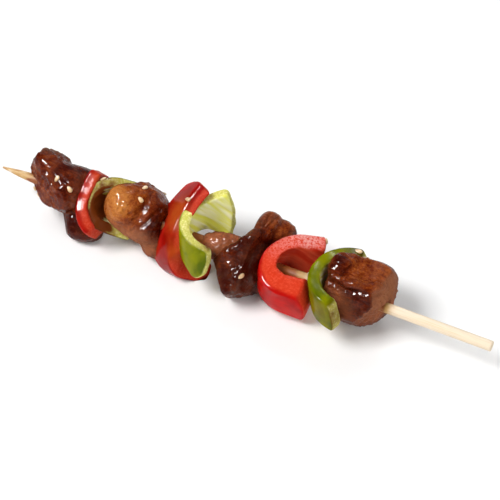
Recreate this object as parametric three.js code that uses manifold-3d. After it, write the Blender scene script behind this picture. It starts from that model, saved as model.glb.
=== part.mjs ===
// A grilled chicken kebab: four chunks of glazed chicken and six pieces of red and green pepper,
// threaded on a pointed bamboo skewer.
//
// Millimetres. Each piece is described in the threading frame, whose origin is the middle of the
// skewer: X runs along the skewer from its point to its blunt end, Y and Z lie across it. The whole
// kebab is then turned about the skewer by LYING_TURN, as it comes to lie, lowered onto its flat
// spots, and centred over the origin with Z up.
import * as THREE from "three";
import { mergeVertices } from "three/addons/utils/BufferGeometryUtils.js";
import Module from "manifold-3d";

const wasm = await Module();
wasm.setup();

// Driving dimensions.
const SKEWER_LENGTH = 200;
const SKEWER_RADIUS = 1.9;
const POINT_LENGTH = 15;
const POINT_RADIUS = 0.35;
const POINT_SHOULDER = { length: 0.5, radius: 0.7 };
const LYING_TURN = 38.95;
const RESTING_HEIGHT = 14.7;
const GAP = 0.3;

// How finely the faceted solids are divided, and how sharply lobes join and facets meet.
const CHUNK_DETAIL = 6;
const WALL_STEPS = { along: 13, across: 5, through: 2 };
const SKEWER_SIDES = 20;
const CORNER_ROUNDING = 0.16;
const JOIN_SHARPNESS = 14;
const FACET_SHARPNESS = 22;
const SEARCH_REACH = 34;
const SEARCH_STEP = 0.5;
const SEARCH_HALVINGS = 8;
const MERGE_DISTANCE = 1e-4;
const LEAST_POWER = 1e-6;

const COLOURS = {
  bamboo: { color: 0xe9dcc0, roughness: 0.7 },
  chicken: { color: 0x6e3312, roughness: 0.35 },
  redPepper: { color: 0xc4261a, roughness: 0.3 },
  greenPepper: { color: 0x7f8f12, roughness: 0.35 },
};

// Chicken chunks. A chunk is a union of lobes seen from its heart. A lobe is a rounded block: its
// centre, its half sizes, its tilt in degrees about Z, its squareness (2 is an ellipsoid), and the
// facets that shave it, each a plane through a point, facing along its normal.
const CHUNKS = {
  chicken_1: {
    heart: [-74, 1, -1],
    lobes: [
      {
        at: [-74.5, 1, 0],
        half: [13.6, 9, 10.5],
        tilt: -4,
        square: 3.2,
        facets: [
          { at: [-83, -4.4, 0], normal: [-0.6, -0.78, 0.1] },
          { at: [-85.5, 0, 1.6], normal: [-0.42, -0.42, 0.8] },
          { at: [-74, 8, 8], normal: [0.1, 0.55, 0.83] },
        ],
      },
      {
        at: [-81.5, 6, -1],
        half: [6.8, 6.6, 8],
        tilt: -8,
        square: 3,
        facets: [
          { at: [-86.4, 6, 0], normal: [-0.97, 0.1, 0.2] },
          { at: [-85.5, 0, 1.8], normal: [-0.42, -0.42, 0.8] },
        ],
      },
      { at: [-61.5, -9, -5], half: [6.8, 7.6, 7.2], tilt: 12, square: 3, facets: [] },
      { at: [-66, 3.2, -2], half: [10, 7.6, 8.6], tilt: 0, square: 2.6, facets: [] },
    ],
  },
  chicken_2: {
    heart: [-42, 1, -2],
    lobes: [
      { at: [-44.8, 2.2, 2], half: [8, 8.4, 9.5], tilt: 0, square: 2.2, facets: [] },
      { at: [-41.5, 2.3, -4], half: [8.8, 10.6, 12], tilt: -12, square: 2.4, facets: [] },
      { at: [-35.8, 0, -3], half: [7.4, 9.2, 9.6], tilt: 0, square: 2.6, facets: [] },
      { at: [-31.5, -6.5, -6], half: [5.5, 6.4, 6], tilt: 0, square: 2.4, facets: [] },
    ],
  },
  chicken_3: {
    heart: [6, 0, -1],
    lobes: [
      {
        at: [3.8, -2.5, 0],
        half: [9.6, 14.5, 10],
        tilt: -10,
        square: 3.2,
        facets: [
          { at: [10.8, 0, 0], normal: [0.97, 0, 0.24] },
          { at: [1, 2.5, 3], normal: [-0.76, 0.62, 0.12] },
          { at: [10, -13, 0], normal: [0.5, -0.86, 0] },
          { at: [-0.3, -12, 0], normal: [-0.8, -0.58, 0.1] },
          { at: [4, -4, 9], normal: [-0.25, -0.1, 0.95] },
        ],
      },
      { at: [-4, 0.4, -1.8], half: [10, 5.2, 6], tilt: 10, square: 3, facets: [] },
      { at: [11, -6.5, -7], half: [7.5, 5, 6], tilt: 0, square: 2.6, facets: [] },
      { at: [8.5, -1, -1], half: [5, 8.5, 7.5], tilt: 0, square: 2.4, facets: [] },
      { at: [8.8, 12, -1], half: [4.2, 6.8, 5.6], tilt: -8, square: 2.4, facets: [] },
      { at: [12.5, 11.5, -6], half: [5.8, 6, 6], tilt: 0, square: 2.4, facets: [] },
    ],
  },
  chicken_4: {
    heart: [49, 2, -1],
    lobes: [
      {
        at: [49.5, 2.4, -1],
        half: [11.9, 11.9, 12.6],
        tilt: 6,
        square: 3.6,
        facets: [
          { at: [50, 7, 8], normal: [0.02, 0.6, 0.8] },
          { at: [51, 0, 9.4], normal: [-0.1, -0.42, 0.9] },
          { at: [60, 4, 3], normal: [0.88, 0.1, 0.46] },
          { at: [55.6, -5.6, 0], normal: [0.78, -0.62, 0.1] },
        ],
      },
      { at: [42, 8.5, 1], half: [5.2, 5, 8], tilt: 0, square: 2.5, facets: [] },
      { at: [48.5, -0.5, -5], half: [9.6, 9, 10.4], tilt: 0, square: 2.3, facets: [] },
    ],
  },
};

// Pepper pieces. Each is a four-cornered cut of the pepper's wall, whose flat corners are given in
// millimetres from where the skewer pierces it: [arm, rim], arm running across the skewer and rim
// towards the cut edge that faces up; rimSag, footRise and endSag bow the rim, the foot and the lower
// end in. The wall bends towards the skewer's blunt end with a radius and a total angle for each arm,
// and each arm closes in by a share at its foot. The wall is cupped along the rim direction (1/mm),
// leans by a slope that twists along the arm (1/mm), and is turned about the skewer by a number of
// degrees. Its hollow side swells with each millimetre of the lower arm by a share of it.
const WALLS = {
  red_pepper_1: {
    station: -60.8,
    turn: 2,
    thickness: 5,
    upper: { radius: 60, angle: 15, closing: 0 },
    lower: { radius: 12.5, angle: 85, closing: 0 },
    swell: 0,
    cup: 0.01,
    lean: 0,
    twist: 0,
    rimSag: 0,
    footRise: 0,
    endSag: 0,
    corners: { lowerFoot: [-15, -5], upperFoot: [11, -8], upperRim: [11, 8], lowerRim: [-15, 8] },
  },
  green_pepper_1: {
    station: -54.8,
    turn: 0,
    thickness: 4.2,
    upper: { radius: 9.5, angle: 78, closing: 0 },
    lower: { radius: 8, angle: 90, closing: 0 },
    swell: 0,
    cup: 0.01,
    lean: -0.6,
    twist: 0,
    rimSag: 0,
    footRise: 0,
    endSag: 0,
    corners: { lowerFoot: [-14.5, -7], upperFoot: [18, -8], upperRim: [16, 7], lowerRim: [-12.5, 7] },
  },
  red_pepper_2: {
    station: -27.3,
    turn: 5,
    thickness: 5.8,
    upper: { radius: 45, angle: 35, closing: 0 },
    lower: { radius: 13, angle: 95, closing: 0 },
    swell: 0.06,
    cup: 0.012,
    lean: 1,
    twist: 0,
    rimSag: 0,
    footRise: 0,
    endSag: 3,
    corners: { lowerFoot: [-41, -12], upperFoot: [19.5, -0.5], upperRim: [19.5, 7], lowerRim: [-9, 6] },
  },
  green_pepper_2: {
    station: -18.8,
    turn: 60,
    thickness: 4.2,
    upper: { radius: 13, angle: 85, closing: 0 },
    lower: { radius: 12, angle: 85, closing: 0 },
    swell: 0,
    cup: 0.01,
    lean: -0.12,
    twist: 0.016,
    rimSag: 4.5,
    footRise: 9.5,
    endSag: 0,
    corners: { lowerFoot: [-14.5, -12], upperFoot: [22, -6], upperRim: [14.5, 20.5], lowerRim: [-25, 5] },
  },
  red_pepper_3: {
    station: 13.9,
    turn: 27,
    thickness: 6,
    upper: { radius: 12, angle: 70, closing: 0.7 },
    lower: { radius: 9.8, angle: 92, closing: 0 },
    swell: 0.15,
    cup: 0.01,
    lean: 0.22,
    twist: 0.012,
    rimSag: -1,
    footRise: 3,
    endSag: 0,
    corners: { lowerFoot: [-25, -11.5], upperFoot: [23, -10], upperRim: [24, 6.5], lowerRim: [-25.5, 6.5] },
  },
  green_pepper_3: {
    station: 34.2,
    turn: 38,
    thickness: 4.8,
    upper: { radius: 13.5, angle: 80, closing: 0 },
    lower: { radius: 12.5, angle: 74, closing: 0 },
    swell: 0,
    cup: 0.01,
    lean: -0.15,
    twist: 0,
    rimSag: 0,
    footRise: 0,
    endSag: 0,
    corners: { lowerFoot: [-21, -5.5], upperFoot: [20, -6], upperRim: [21.5, 8.5], lowerRim: [-19.5, 8.5] },
  },
};

const UP = new THREE.Vector3(0, 0, 1);
const radians = THREE.MathUtils.degToRad;

// A geometry as a manifold solid, and back again.
function solidOf(geometry) {
  geometry.deleteAttribute("normal");
  geometry.deleteAttribute("uv");
  const merged = mergeVertices(geometry, MERGE_DISTANCE);
  return new wasm.Manifold(
    new wasm.Mesh({
      numProp: 3,
      vertProperties: new Float32Array(merged.attributes.position.array),
      triVerts: new Uint32Array(merged.index.array),
    }),
  );
}

function geometryOf(solid) {
  const mesh = solid.getMesh();
  const geometry = new THREE.BufferGeometry();
  geometry.setAttribute("position", new THREE.BufferAttribute(mesh.vertProperties, 3));
  geometry.setIndex(new THREE.BufferAttribute(mesh.triVerts, 1));
  geometry.computeVertexNormals();
  return geometry;
}

// Moves every vertex of a geometry to place(vertex).
function shaped(geometry, place) {
  const positions = geometry.attributes.position;
  const vertex = new THREE.Vector3();
  for (let i = 0; i < positions.count; i++) {
    vertex.fromBufferAttribute(positions, i);
    positions.setXYZ(i, ...place(vertex).toArray());
  }
  return geometry;
}

// How far out of a lobe a point lies: 1 on its surface, less inside. It is the superellipsoid's
// gauge, cut by the facets through a sum of powers that rounds the edges.
function lobeGauge(point, { at, half, tilt, square, facets }) {
  const centre = new THREE.Vector3(...at);
  const local = point.clone().sub(centre).applyAxisAngle(UP, -radians(tilt));
  const powers = local.toArray().map((part, i) => Math.abs(part / half[i]) ** square);
  const block = Math.max(powers[0] + powers[1] + powers[2], LEAST_POWER) ** (1 / square);
  const cut = facets.reduce((sum, facet) => {
    const normal = new THREE.Vector3(...facet.normal);
    const plane = new THREE.Vector3(...facet.at).sub(centre).dot(normal);
    const reach = point.clone().sub(centre).dot(normal);
    return sum + Math.max(0, reach / plane) ** FACET_SHARPNESS;
  }, block ** FACET_SHARPNESS);
  return cut ** (1 / FACET_SHARPNESS);
}

// The same for a whole chunk, whose lobes are joined through a sum of powers that fills the seams.
function chunkGauge(point, { lobes }) {
  const sum = lobes.reduce((total, lobe) => total + lobeGauge(point, lobe) ** -JOIN_SHARPNESS, 0);
  return sum ** (-1 / JOIN_SHARPNESS);
}

// A chunk's solid: a ball round its heart whose every vertex slides along its ray to the surface.
// grow moves the surface out, for clearance.
function chunkSolid(chunk, grow = 0) {
  const heart = new THREE.Vector3(...chunk.heart);
  const ball = new THREE.IcosahedronGeometry(1, CHUNK_DETAIL);
  shaped(ball, (direction) => {
    const ray = direction.clone();
    const at = (reach) => heart.clone().addScaledVector(ray, reach);
    let outer = SEARCH_REACH;
    while (chunkGauge(at(outer), chunk) > 1) outer -= SEARCH_STEP;
    let inner = outer;
    outer += SEARCH_STEP;
    for (let i = 0; i < SEARCH_HALVINGS; i++) {
      const middle = (inner + outer) / 2;
      if (chunkGauge(at(middle), chunk) > 1) outer = middle;
      else inner = middle;
    }
    return at(inner + grow);
  });
  return solidOf(ball);
}

// Where the wall's middle surface lies at an arm length from the skewer: the distance along X and
// across it, the direction of its hollow side, and how far the arm closes in towards its foot.
function armPoint(arm, wall) {
  const { radius, angle, closing } = arm < 0 ? wall.lower : wall.upper;
  const length = Math.abs(arm);
  const bent = Math.min(length / radius, radians(angle));
  const straight = length - bent * radius;
  return {
    along: radius * (1 - Math.cos(bent)) + straight * Math.sin(bent),
    across: Math.sign(arm) * (radius * Math.sin(bent) + straight * Math.cos(bent)),
    hollowX: Math.cos(bent),
    hollowAcross: -Math.sign(arm) * Math.sin(bent),
    closing,
  };
}

// A wall piece as a box whose vertices are carried onto the bent and cupped wall. grow widens it on
// every side, for clearance.
function wallSolid(wall, grow = 0) {
  const { along, across, through } = WALL_STEPS;
  const { lowerFoot, upperFoot, upperRim, lowerRim } = wall.corners;
  const mix = THREE.MathUtils.lerp;
  const box = new THREE.BoxGeometry(1, 1, 1, along, across, through);
  shaped(box, ({ x, y, z }) => {
    const u = 0.5 + x * Math.sqrt(1 - 4 * CORNER_ROUNDING * y * y);
    const v = 0.5 + y * Math.sqrt(1 - 4 * CORNER_ROUNDING * x * x);
    const arm = mix(mix(lowerFoot[0], upperFoot[0], u), mix(lowerRim[0], upperRim[0], u), v);
    const straightRim = mix(mix(lowerFoot[1], lowerRim[1], v), mix(upperFoot[1], upperRim[1], v), u);
    const bow = mix(wall.footRise, -wall.rimSag, v) * 4 * u * (1 - u);
    const rim = straightRim + bow - wall.endSag * 4 * v * (1 - v) * (1 - u) ** 2;
    const armGrown = arm + 2 * grow * x;
    const rimGrown = rim + 2 * grow * y;
    const middle = armPoint(armGrown, wall);
    const swelling = wall.swell * Math.max(0, -armGrown) * (z + 0.5);
    const depth = (wall.thickness + 2 * grow) * z + swelling + (wall.cup * rimGrown ** 2) / 2;
    return new THREE.Vector3(
      middle.along + (wall.lean + wall.twist * armGrown) * rimGrown + middle.hollowX * depth,
      (middle.across + middle.hollowAcross * depth) * (1 - middle.closing * (1 - v)),
      rimGrown,
    );
  });
  box.rotateX(-radians(wall.turn));
  box.translate(wall.station, 0, 0);
  return solidOf(box);
}

// The skewer: a round bamboo stick with a slightly rounded point, turned as a lathe profile. The
// point's shoulder is given as shares of the point's length and of the stick's radius.
function skewerGeometry(grow = 0) {
  const half = SKEWER_LENGTH / 2;
  const radius = SKEWER_RADIUS + grow;
  const profile = [
    new THREE.Vector2(0, -half - grow),
    new THREE.Vector2(POINT_RADIUS + grow, -half - grow),
    new THREE.Vector2(radius * POINT_SHOULDER.radius, -half + POINT_LENGTH * POINT_SHOULDER.length),
    new THREE.Vector2(radius, -half + POINT_LENGTH),
    new THREE.Vector2(radius, half + grow),
    new THREE.Vector2(0, half + grow),
  ];
  return new THREE.LatheGeometry(profile, SKEWER_SIDES).rotateZ(-Math.PI / 2);
}

// Everything under the plane that the kebab rests on, in the threading frame.
function floorSolid() {
  const size = 2 * SKEWER_LENGTH;
  const slab = new THREE.BoxGeometry(size, size, size);
  slab.translate(0, 0, -size / 2 - RESTING_HEIGHT);
  slab.rotateX(-radians(LYING_TURN));
  return solidOf(slab);
}

function pieceMesh(name, geometry, finish) {
  const material = new THREE.MeshStandardMaterial({ metalness: 0, ...COLOURS[finish] });
  const mesh = new THREE.Mesh(geometry, material);
  mesh.name = name;
  return mesh;
}

const threaded = new THREE.Group();
threaded.add(pieceMesh("skewer", skewerGeometry(), "bamboo"));

// Peppers keep their shape; each later one gives way to those before it, and the softer chicken
// gives way to all of them.
let taken = solidOf(skewerGeometry(GAP)).add(floorSolid());
for (const [name, wall] of Object.entries(WALLS)) {
  const finish = name.startsWith("red") ? "redPepper" : "greenPepper";
  threaded.add(pieceMesh(name, geometryOf(wallSolid(wall).subtract(taken)), finish));
  taken = taken.add(wallSolid(wall, GAP));
}
for (const [name, chunk] of Object.entries(CHUNKS)) {
  threaded.add(pieceMesh(name, geometryOf(chunkSolid(chunk).subtract(taken)), "chicken"));
  taken = taken.add(chunkSolid(chunk, GAP));
}
threaded.rotation.x = radians(LYING_TURN);

// Standing on its flat spots, centred over the origin.
const kebab = new THREE.Group();
kebab.add(threaded);
const bounds = new THREE.Box3().setFromObject(kebab, true);
const centre = bounds.getCenter(new THREE.Vector3());
threaded.position.set(-centre.x, -centre.y, -bounds.min.z);

export default kebab;
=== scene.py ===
"""A grilled chicken kebab: glazed chicken and bell pepper on a bamboo skewer, with sesame seeds.

Every piece is worked out in the threading frame, in millimetres: its origin is the middle of the
skewer, X runs along the skewer from its point to its blunt end, and Y and Z lie across it. The
kebab then lies turned about its skewer, and `Threading` carries points to the model's own frame,
in metres.
"""

import logging
import math
from dataclasses import dataclass, field
from enum import Enum
from typing import Sequence

import bpy
import numpy as np
from mathutils import Matrix, Vector


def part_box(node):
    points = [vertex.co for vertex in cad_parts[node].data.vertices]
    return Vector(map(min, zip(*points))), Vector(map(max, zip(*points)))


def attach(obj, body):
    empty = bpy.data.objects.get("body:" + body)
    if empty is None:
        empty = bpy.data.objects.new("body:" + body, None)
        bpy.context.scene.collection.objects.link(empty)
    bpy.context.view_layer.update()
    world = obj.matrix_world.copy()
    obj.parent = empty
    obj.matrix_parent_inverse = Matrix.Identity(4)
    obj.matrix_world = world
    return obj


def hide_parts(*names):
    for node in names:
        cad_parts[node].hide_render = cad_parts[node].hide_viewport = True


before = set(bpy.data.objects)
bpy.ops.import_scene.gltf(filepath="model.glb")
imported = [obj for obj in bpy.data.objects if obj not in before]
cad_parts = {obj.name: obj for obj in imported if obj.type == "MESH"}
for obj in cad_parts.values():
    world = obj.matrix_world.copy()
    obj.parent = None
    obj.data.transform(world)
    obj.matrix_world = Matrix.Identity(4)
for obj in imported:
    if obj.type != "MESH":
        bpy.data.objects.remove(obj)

LOG = logging.getLogger("kebab")
MILLIMETRE = 0.001
Point = tuple[float, float, float]
Colour = tuple[float, float, float]


class Slot(Enum):
    """The material slots, one for each kind of piece."""

    BAMBOO = "bamboo"
    CHICKEN = "chicken"
    RED_PEPPER = "red_pepper"
    GREEN_PEPPER = "green_pepper"


# ----------------------------------------------------------------------------- numbers and noise


SHORTEST = 1e-12
SMALLEST = 1e-6
AXIS_PRIMES = (73856093, 19349663, 83492791)
SEED_PRIME = 6271
BIT_MIXERS = ((15, 2246822519), (13, 3266489917))
LAST_SHIFT = 16
BITS = 0xFFFFFFFF
OCTAVE_SHIFT = 17.3
OCTAVE_SEED = 101
NEAR_Z: Point = (0.0, 0.31, 0.95)


def unit(vectors: np.ndarray) -> np.ndarray:
    """Returns the vectors divided by their lengths."""
    return vectors / np.maximum(np.linalg.norm(vectors, axis=-1, keepdims=True), SHORTEST)


def smooth_step(low: float, high: float, value: np.ndarray) -> np.ndarray:
    """Returns 0 below low, 1 above high, and the smooth cubic 3t^2 - 2t^3 between them."""
    share = np.clip((value - low) / (high - low), 0.0, 1.0)
    return share * share * (3.0 - 2.0 * share)


def lattice_value(cell: np.ndarray, seed: int) -> np.ndarray:
    """Gives each cell of a whole-number lattice its own repeatable value.

    Args:
        cell: whole-number coordinates, (..., 3).
        seed: picks one of many such fields.

    Returns:
        Values from -1 to 1, made by multiplying and folding the bits of the coordinates.
    """
    first, second, third = AXIS_PRIMES
    mixed = cell[..., 0] * first ^ cell[..., 1] * second ^ cell[..., 2] * third
    mixed = (mixed + seed * SEED_PRIME) & BITS
    for shift, factor in BIT_MIXERS:
        mixed = ((mixed ^ (mixed >> shift)) * factor) & BITS
    return (mixed ^ (mixed >> LAST_SHIFT)) / (BITS / 2) - 1.0


def noise(
    points: np.ndarray, size: float | Sequence[float], seed: int, octaves: int = 1
) -> np.ndarray:
    """Adds up octaves of value noise, each half as large and half as strong as the last.

    Args:
        points: places to read the noise at, (..., 3), in millimetres.
        size: width of the first octave's lumps, one number or one for each axis.
        seed: picks the field.
        octaves: how many are added.

    Returns:
        Values of about -1 to 1: lattice values blended by the cubic 3t^2 - 2t^3 along each axis.
    """
    total = np.zeros(points.shape[:-1])
    strength = 0.0
    for octave in range(octaves):
        scaled = points / np.asarray(size, float) * 2.0**octave + OCTAVE_SHIFT * octave
        corner = np.floor(scaled).astype(np.int64)
        part = smooth_step(0.0, 1.0, scaled - corner)
        value = np.zeros(total.shape)
        for step in np.ndindex(2, 2, 2):
            weight = np.prod(np.where(np.array(step) == 1, part, 1.0 - part), axis=-1)
            value += weight * lattice_value(corner + np.array(step), seed + OCTAVE_SEED * octave)
        total += value * 0.5**octave
        strength += 0.5**octave
    return total / strength


@dataclass(frozen=True)
class Grain:
    """One of a piece's noises: the size of its lumps in millimetres, its field and its octaves."""

    size: float | Point
    field: int
    octaves: int = 1

    def at(self, points: np.ndarray, seed: int = 0) -> np.ndarray:
        """Returns its values, of about -1 to 1, at points of a piece that has a seed."""
        return noise(points, self.size, seed + self.field, self.octaves)


def along_axes(points: np.ndarray, fibre: Point) -> np.ndarray:
    """Reads points in axes that follow a fibre, so that noise can be drawn out along it.

    Args:
        points: places, (..., 3).
        fibre: the direction of the first axis.

    Returns:
        The points' coordinates along the fibre and along two axes square to it.
    """
    first = unit(np.asarray(fibre, float))
    second = unit(np.cross(first, NEAR_Z))
    third = np.cross(first, second)
    return points @ np.stack([first, second, third], axis=-1)


def turned_pair(
    first: np.ndarray, second: np.ndarray, degrees: float
) -> tuple[np.ndarray, np.ndarray]:
    """Reads a pair of coordinates in axes turned by an angle t.

    Args:
        first: the first coordinate.
        second: the second one.
        degrees: the angle.

    Returns:
        first cos t + second sin t, and second cos t - first sin t.
    """
    cosine, sine = math.cos(math.radians(degrees)), math.sin(math.radians(degrees))
    return first * cosine + second * sine, second * cosine - first * sine


def angle_grid(rows: int, around: int) -> tuple[np.ndarray, np.ndarray]:
    """Lays out the angles of a grid that has a pole at each end.

    Args:
        rows: angles from pole to pole, over half a turn.
        around: angles round the poles, over a whole turn without its end.

    Returns:
        The angle from the first pole and the angle round it, (rows, around) each.
    """
    polar = np.linspace(0, math.pi, rows)
    turned = np.linspace(0, 2 * math.pi, around, endpoint=False)
    return tuple(np.meshgrid(polar, turned, indexing="ij"))


def round_axis(x: np.ndarray, radius: np.ndarray | float, turn: np.ndarray) -> np.ndarray:
    """Returns the points (x, r cos t, r sin t) round the X axis."""
    return np.stack([x, radius * np.cos(turn), radius * np.sin(turn)], axis=-1)


# ----------------------------------------------------------------------------- frame and meshes


@dataclass(frozen=True)
class Threading:
    """The threading frame's place in the model: the skewer's middle, and the turn it lies at."""

    origin: Vector
    turn: float = math.radians(38.95)

    @classmethod
    def from_frame(cls) -> "Threading":
        """Finds the skewer's middle from its CAD node."""
        low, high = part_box("skewer")
        return cls((low + high) / 2)

    def axes(self) -> np.ndarray:
        """Returns the matrix that turns row vectors about X into the model's frame."""
        cosine, sine = math.cos(self.turn), math.sin(self.turn)
        return np.array([[1, 0, 0], [0, cosine, sine], [0, -sine, cosine]])

    def place(self, points: np.ndarray) -> np.ndarray:
        """Carries points from the threading frame, in millimetres, to the model, in metres."""
        return points @ self.axes() * MILLIMETRE + np.array(self.origin)

    def rest(self, points: np.ndarray, floor: float = 0.02) -> np.ndarray:
        """Presses points that would lie under the surface the kebab rests on flat onto it.

        Args:
            points: in the threading frame, in millimetres.
            floor: how far above the surface the lowest points stay, in millimetres.

        Returns:
            The points in the threading frame: each one's height h above the surface becomes
            max(h, floor).
        """
        up = self.axes()[:, 2]
        height = points @ up + self.origin.z / MILLIMETRE
        return points + np.maximum(floor - height, 0.0)[..., None] * up


def grid_normals(grid: np.ndarray) -> np.ndarray:
    """Finds the normals of a grid that closes round its second index.

    Args:
        grid: points, (rows, around, 3).

    Returns:
        Unit normals: the cross product of the differences along the two indices, pointing away
        from the grid's middle.
    """
    along = np.gradient(grid, axis=0)
    around = np.roll(grid, -1, axis=1) - np.roll(grid, 1, axis=1)
    normals = unit(np.cross(around, along))
    outward = grid - grid.mean(axis=(0, 1))
    return normals if np.sum(normals * outward) > 0 else -normals


def pole_list(grid: np.ndarray) -> np.ndarray:
    """Lists a grid's points or values, with its first and last rows each shrunk to their mean.

    Args:
        grid: points, (rows, around, 3), or values, (rows, around).

    Returns:
        The first row's mean, every point of the rows between, and the last row's mean.
    """
    middle = grid[1:-1].reshape(-1, *grid.shape[2:])
    return np.concatenate([grid[:1].mean(axis=1), middle, grid[-1:].mean(axis=1)])


def pole_faces(rows: int, around: int) -> tuple[np.ndarray, np.ndarray]:
    """Joins up the points that `pole_list` lists.

    Args:
        rows: the grid's rows, its two poles among them.
        around: points in each row between the poles.

    Returns:
        The quads between neighbours, (n, 4), and the triangles that meet at the poles, (n, 3).
    """
    ring = 1 + np.arange((rows - 2) * around).reshape(rows - 2, around)
    beside = np.roll(ring, -1, axis=1)
    quads = np.stack([ring[:-1], ring[1:], beside[1:], beside[:-1]], axis=-1).reshape(-1, 4)
    first_fan = np.stack([np.zeros(around, int), ring[0], beside[0]], axis=-1)
    last_fan = np.stack([np.full(around, ring[-1, -1] + 1), beside[-1], ring[-1]], axis=-1)
    return quads, np.concatenate([first_fan, last_fan])


def smooth_mesh(name: str, points: np.ndarray, faces: list[list[int]]) -> bpy.types.Mesh:
    """Makes a smoothly shaded mesh.

    Args:
        name: the mesh's name.
        points: its points, in metres.
        faces: the points that each face joins.

    Returns:
        The mesh.
    """
    mesh = bpy.data.meshes.new(name)
    mesh.from_pydata(points.tolist(), [], faces)
    mesh.polygons.foreach_set("use_smooth", np.ones(len(mesh.polygons), bool))
    mesh.update()
    return mesh


def put_in_scene(name: str, data: bpy.types.ID) -> bpy.types.Object:
    """Makes an object of a mesh, a light or a camera, and links it to the scene.

    Args:
        name: the object's name.
        data: what it shows.

    Returns:
        The object.
    """
    obj = bpy.data.objects.new(name, data)
    bpy.context.scene.collection.objects.link(obj)
    return obj


def closed_object(
    name: str, grid: np.ndarray, attributes: dict[str, np.ndarray]
) -> bpy.types.Object:
    """Makes an object from a grid that closes round its second index and ends in two poles.

    Args:
        name: the object's name.
        grid: points in metres, (rows, around, 3). The first and last rows are poles: only their
            middle is used.
        attributes: a value for each grid point, (rows, around), by attribute name.

    Returns:
        The object: quads between neighbours and fans at the poles, smooth, facing outwards.
    """
    points = pole_list(grid)
    quads, fans = pole_faces(*grid.shape[:2])
    volume = np.sum(points[quads[:, 0]] * np.cross(points[quads[:, 1]], points[quads[:, 2]]))
    faces = quads.tolist() + fans.tolist()
    if volume < 0:
        faces = [face[::-1] for face in faces]
    mesh = smooth_mesh(name, points, faces)
    for key, values in attributes.items():
        flat = pole_list(values).astype(np.float32)
        mesh.attributes.new(key, "FLOAT", "POINT").data.foreach_set("value", flat)
    return put_in_scene(name, mesh)


# ----------------------------------------------------------------------------- shader maths


class Wire:
    """A socket in a material, with arithmetic that adds Math nodes to the material."""

    def __init__(self, graph: "Graph", socket: bpy.types.NodeSocket) -> None:
        """Wraps a socket of the graph's node tree.

        Args:
            graph: the material that the socket is in.
            socket: a node's output.
        """
        self.graph = graph
        self.socket = socket

    def math(self, operation: str, other: "Wire | float") -> "Wire":
        """Returns the result of a Math node that works on this value and another."""
        return self.graph.node("ShaderNodeMath", {"operation": operation}, {0: self, 1: other})

    def __add__(self, other: "Wire | float") -> "Wire":
        """Returns self + other."""
        return self.math("ADD", other)

    def __sub__(self, other: "Wire | float") -> "Wire":
        """Returns self - other."""
        return self.math("SUBTRACT", other)

    def __rsub__(self, other: float) -> "Wire":
        """Returns other - self."""
        return (self * -1.0).math("ADD", other)

    def __mul__(self, other: "Wire | float") -> "Wire":
        """Returns self * other."""
        return self.math("MULTIPLY", other)

    __radd__ = __add__
    __rmul__ = __mul__

    def between(self, low: float, high: float) -> "Wire":
        """Returns 0 below low, 1 above high, and a smooth passage between them."""
        inputs = {"Value": self, "From Min": low, "From Max": high}
        return self.graph.node("ShaderNodeMapRange", {"interpolation_type": "SMOOTHSTEP"}, inputs)


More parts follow.
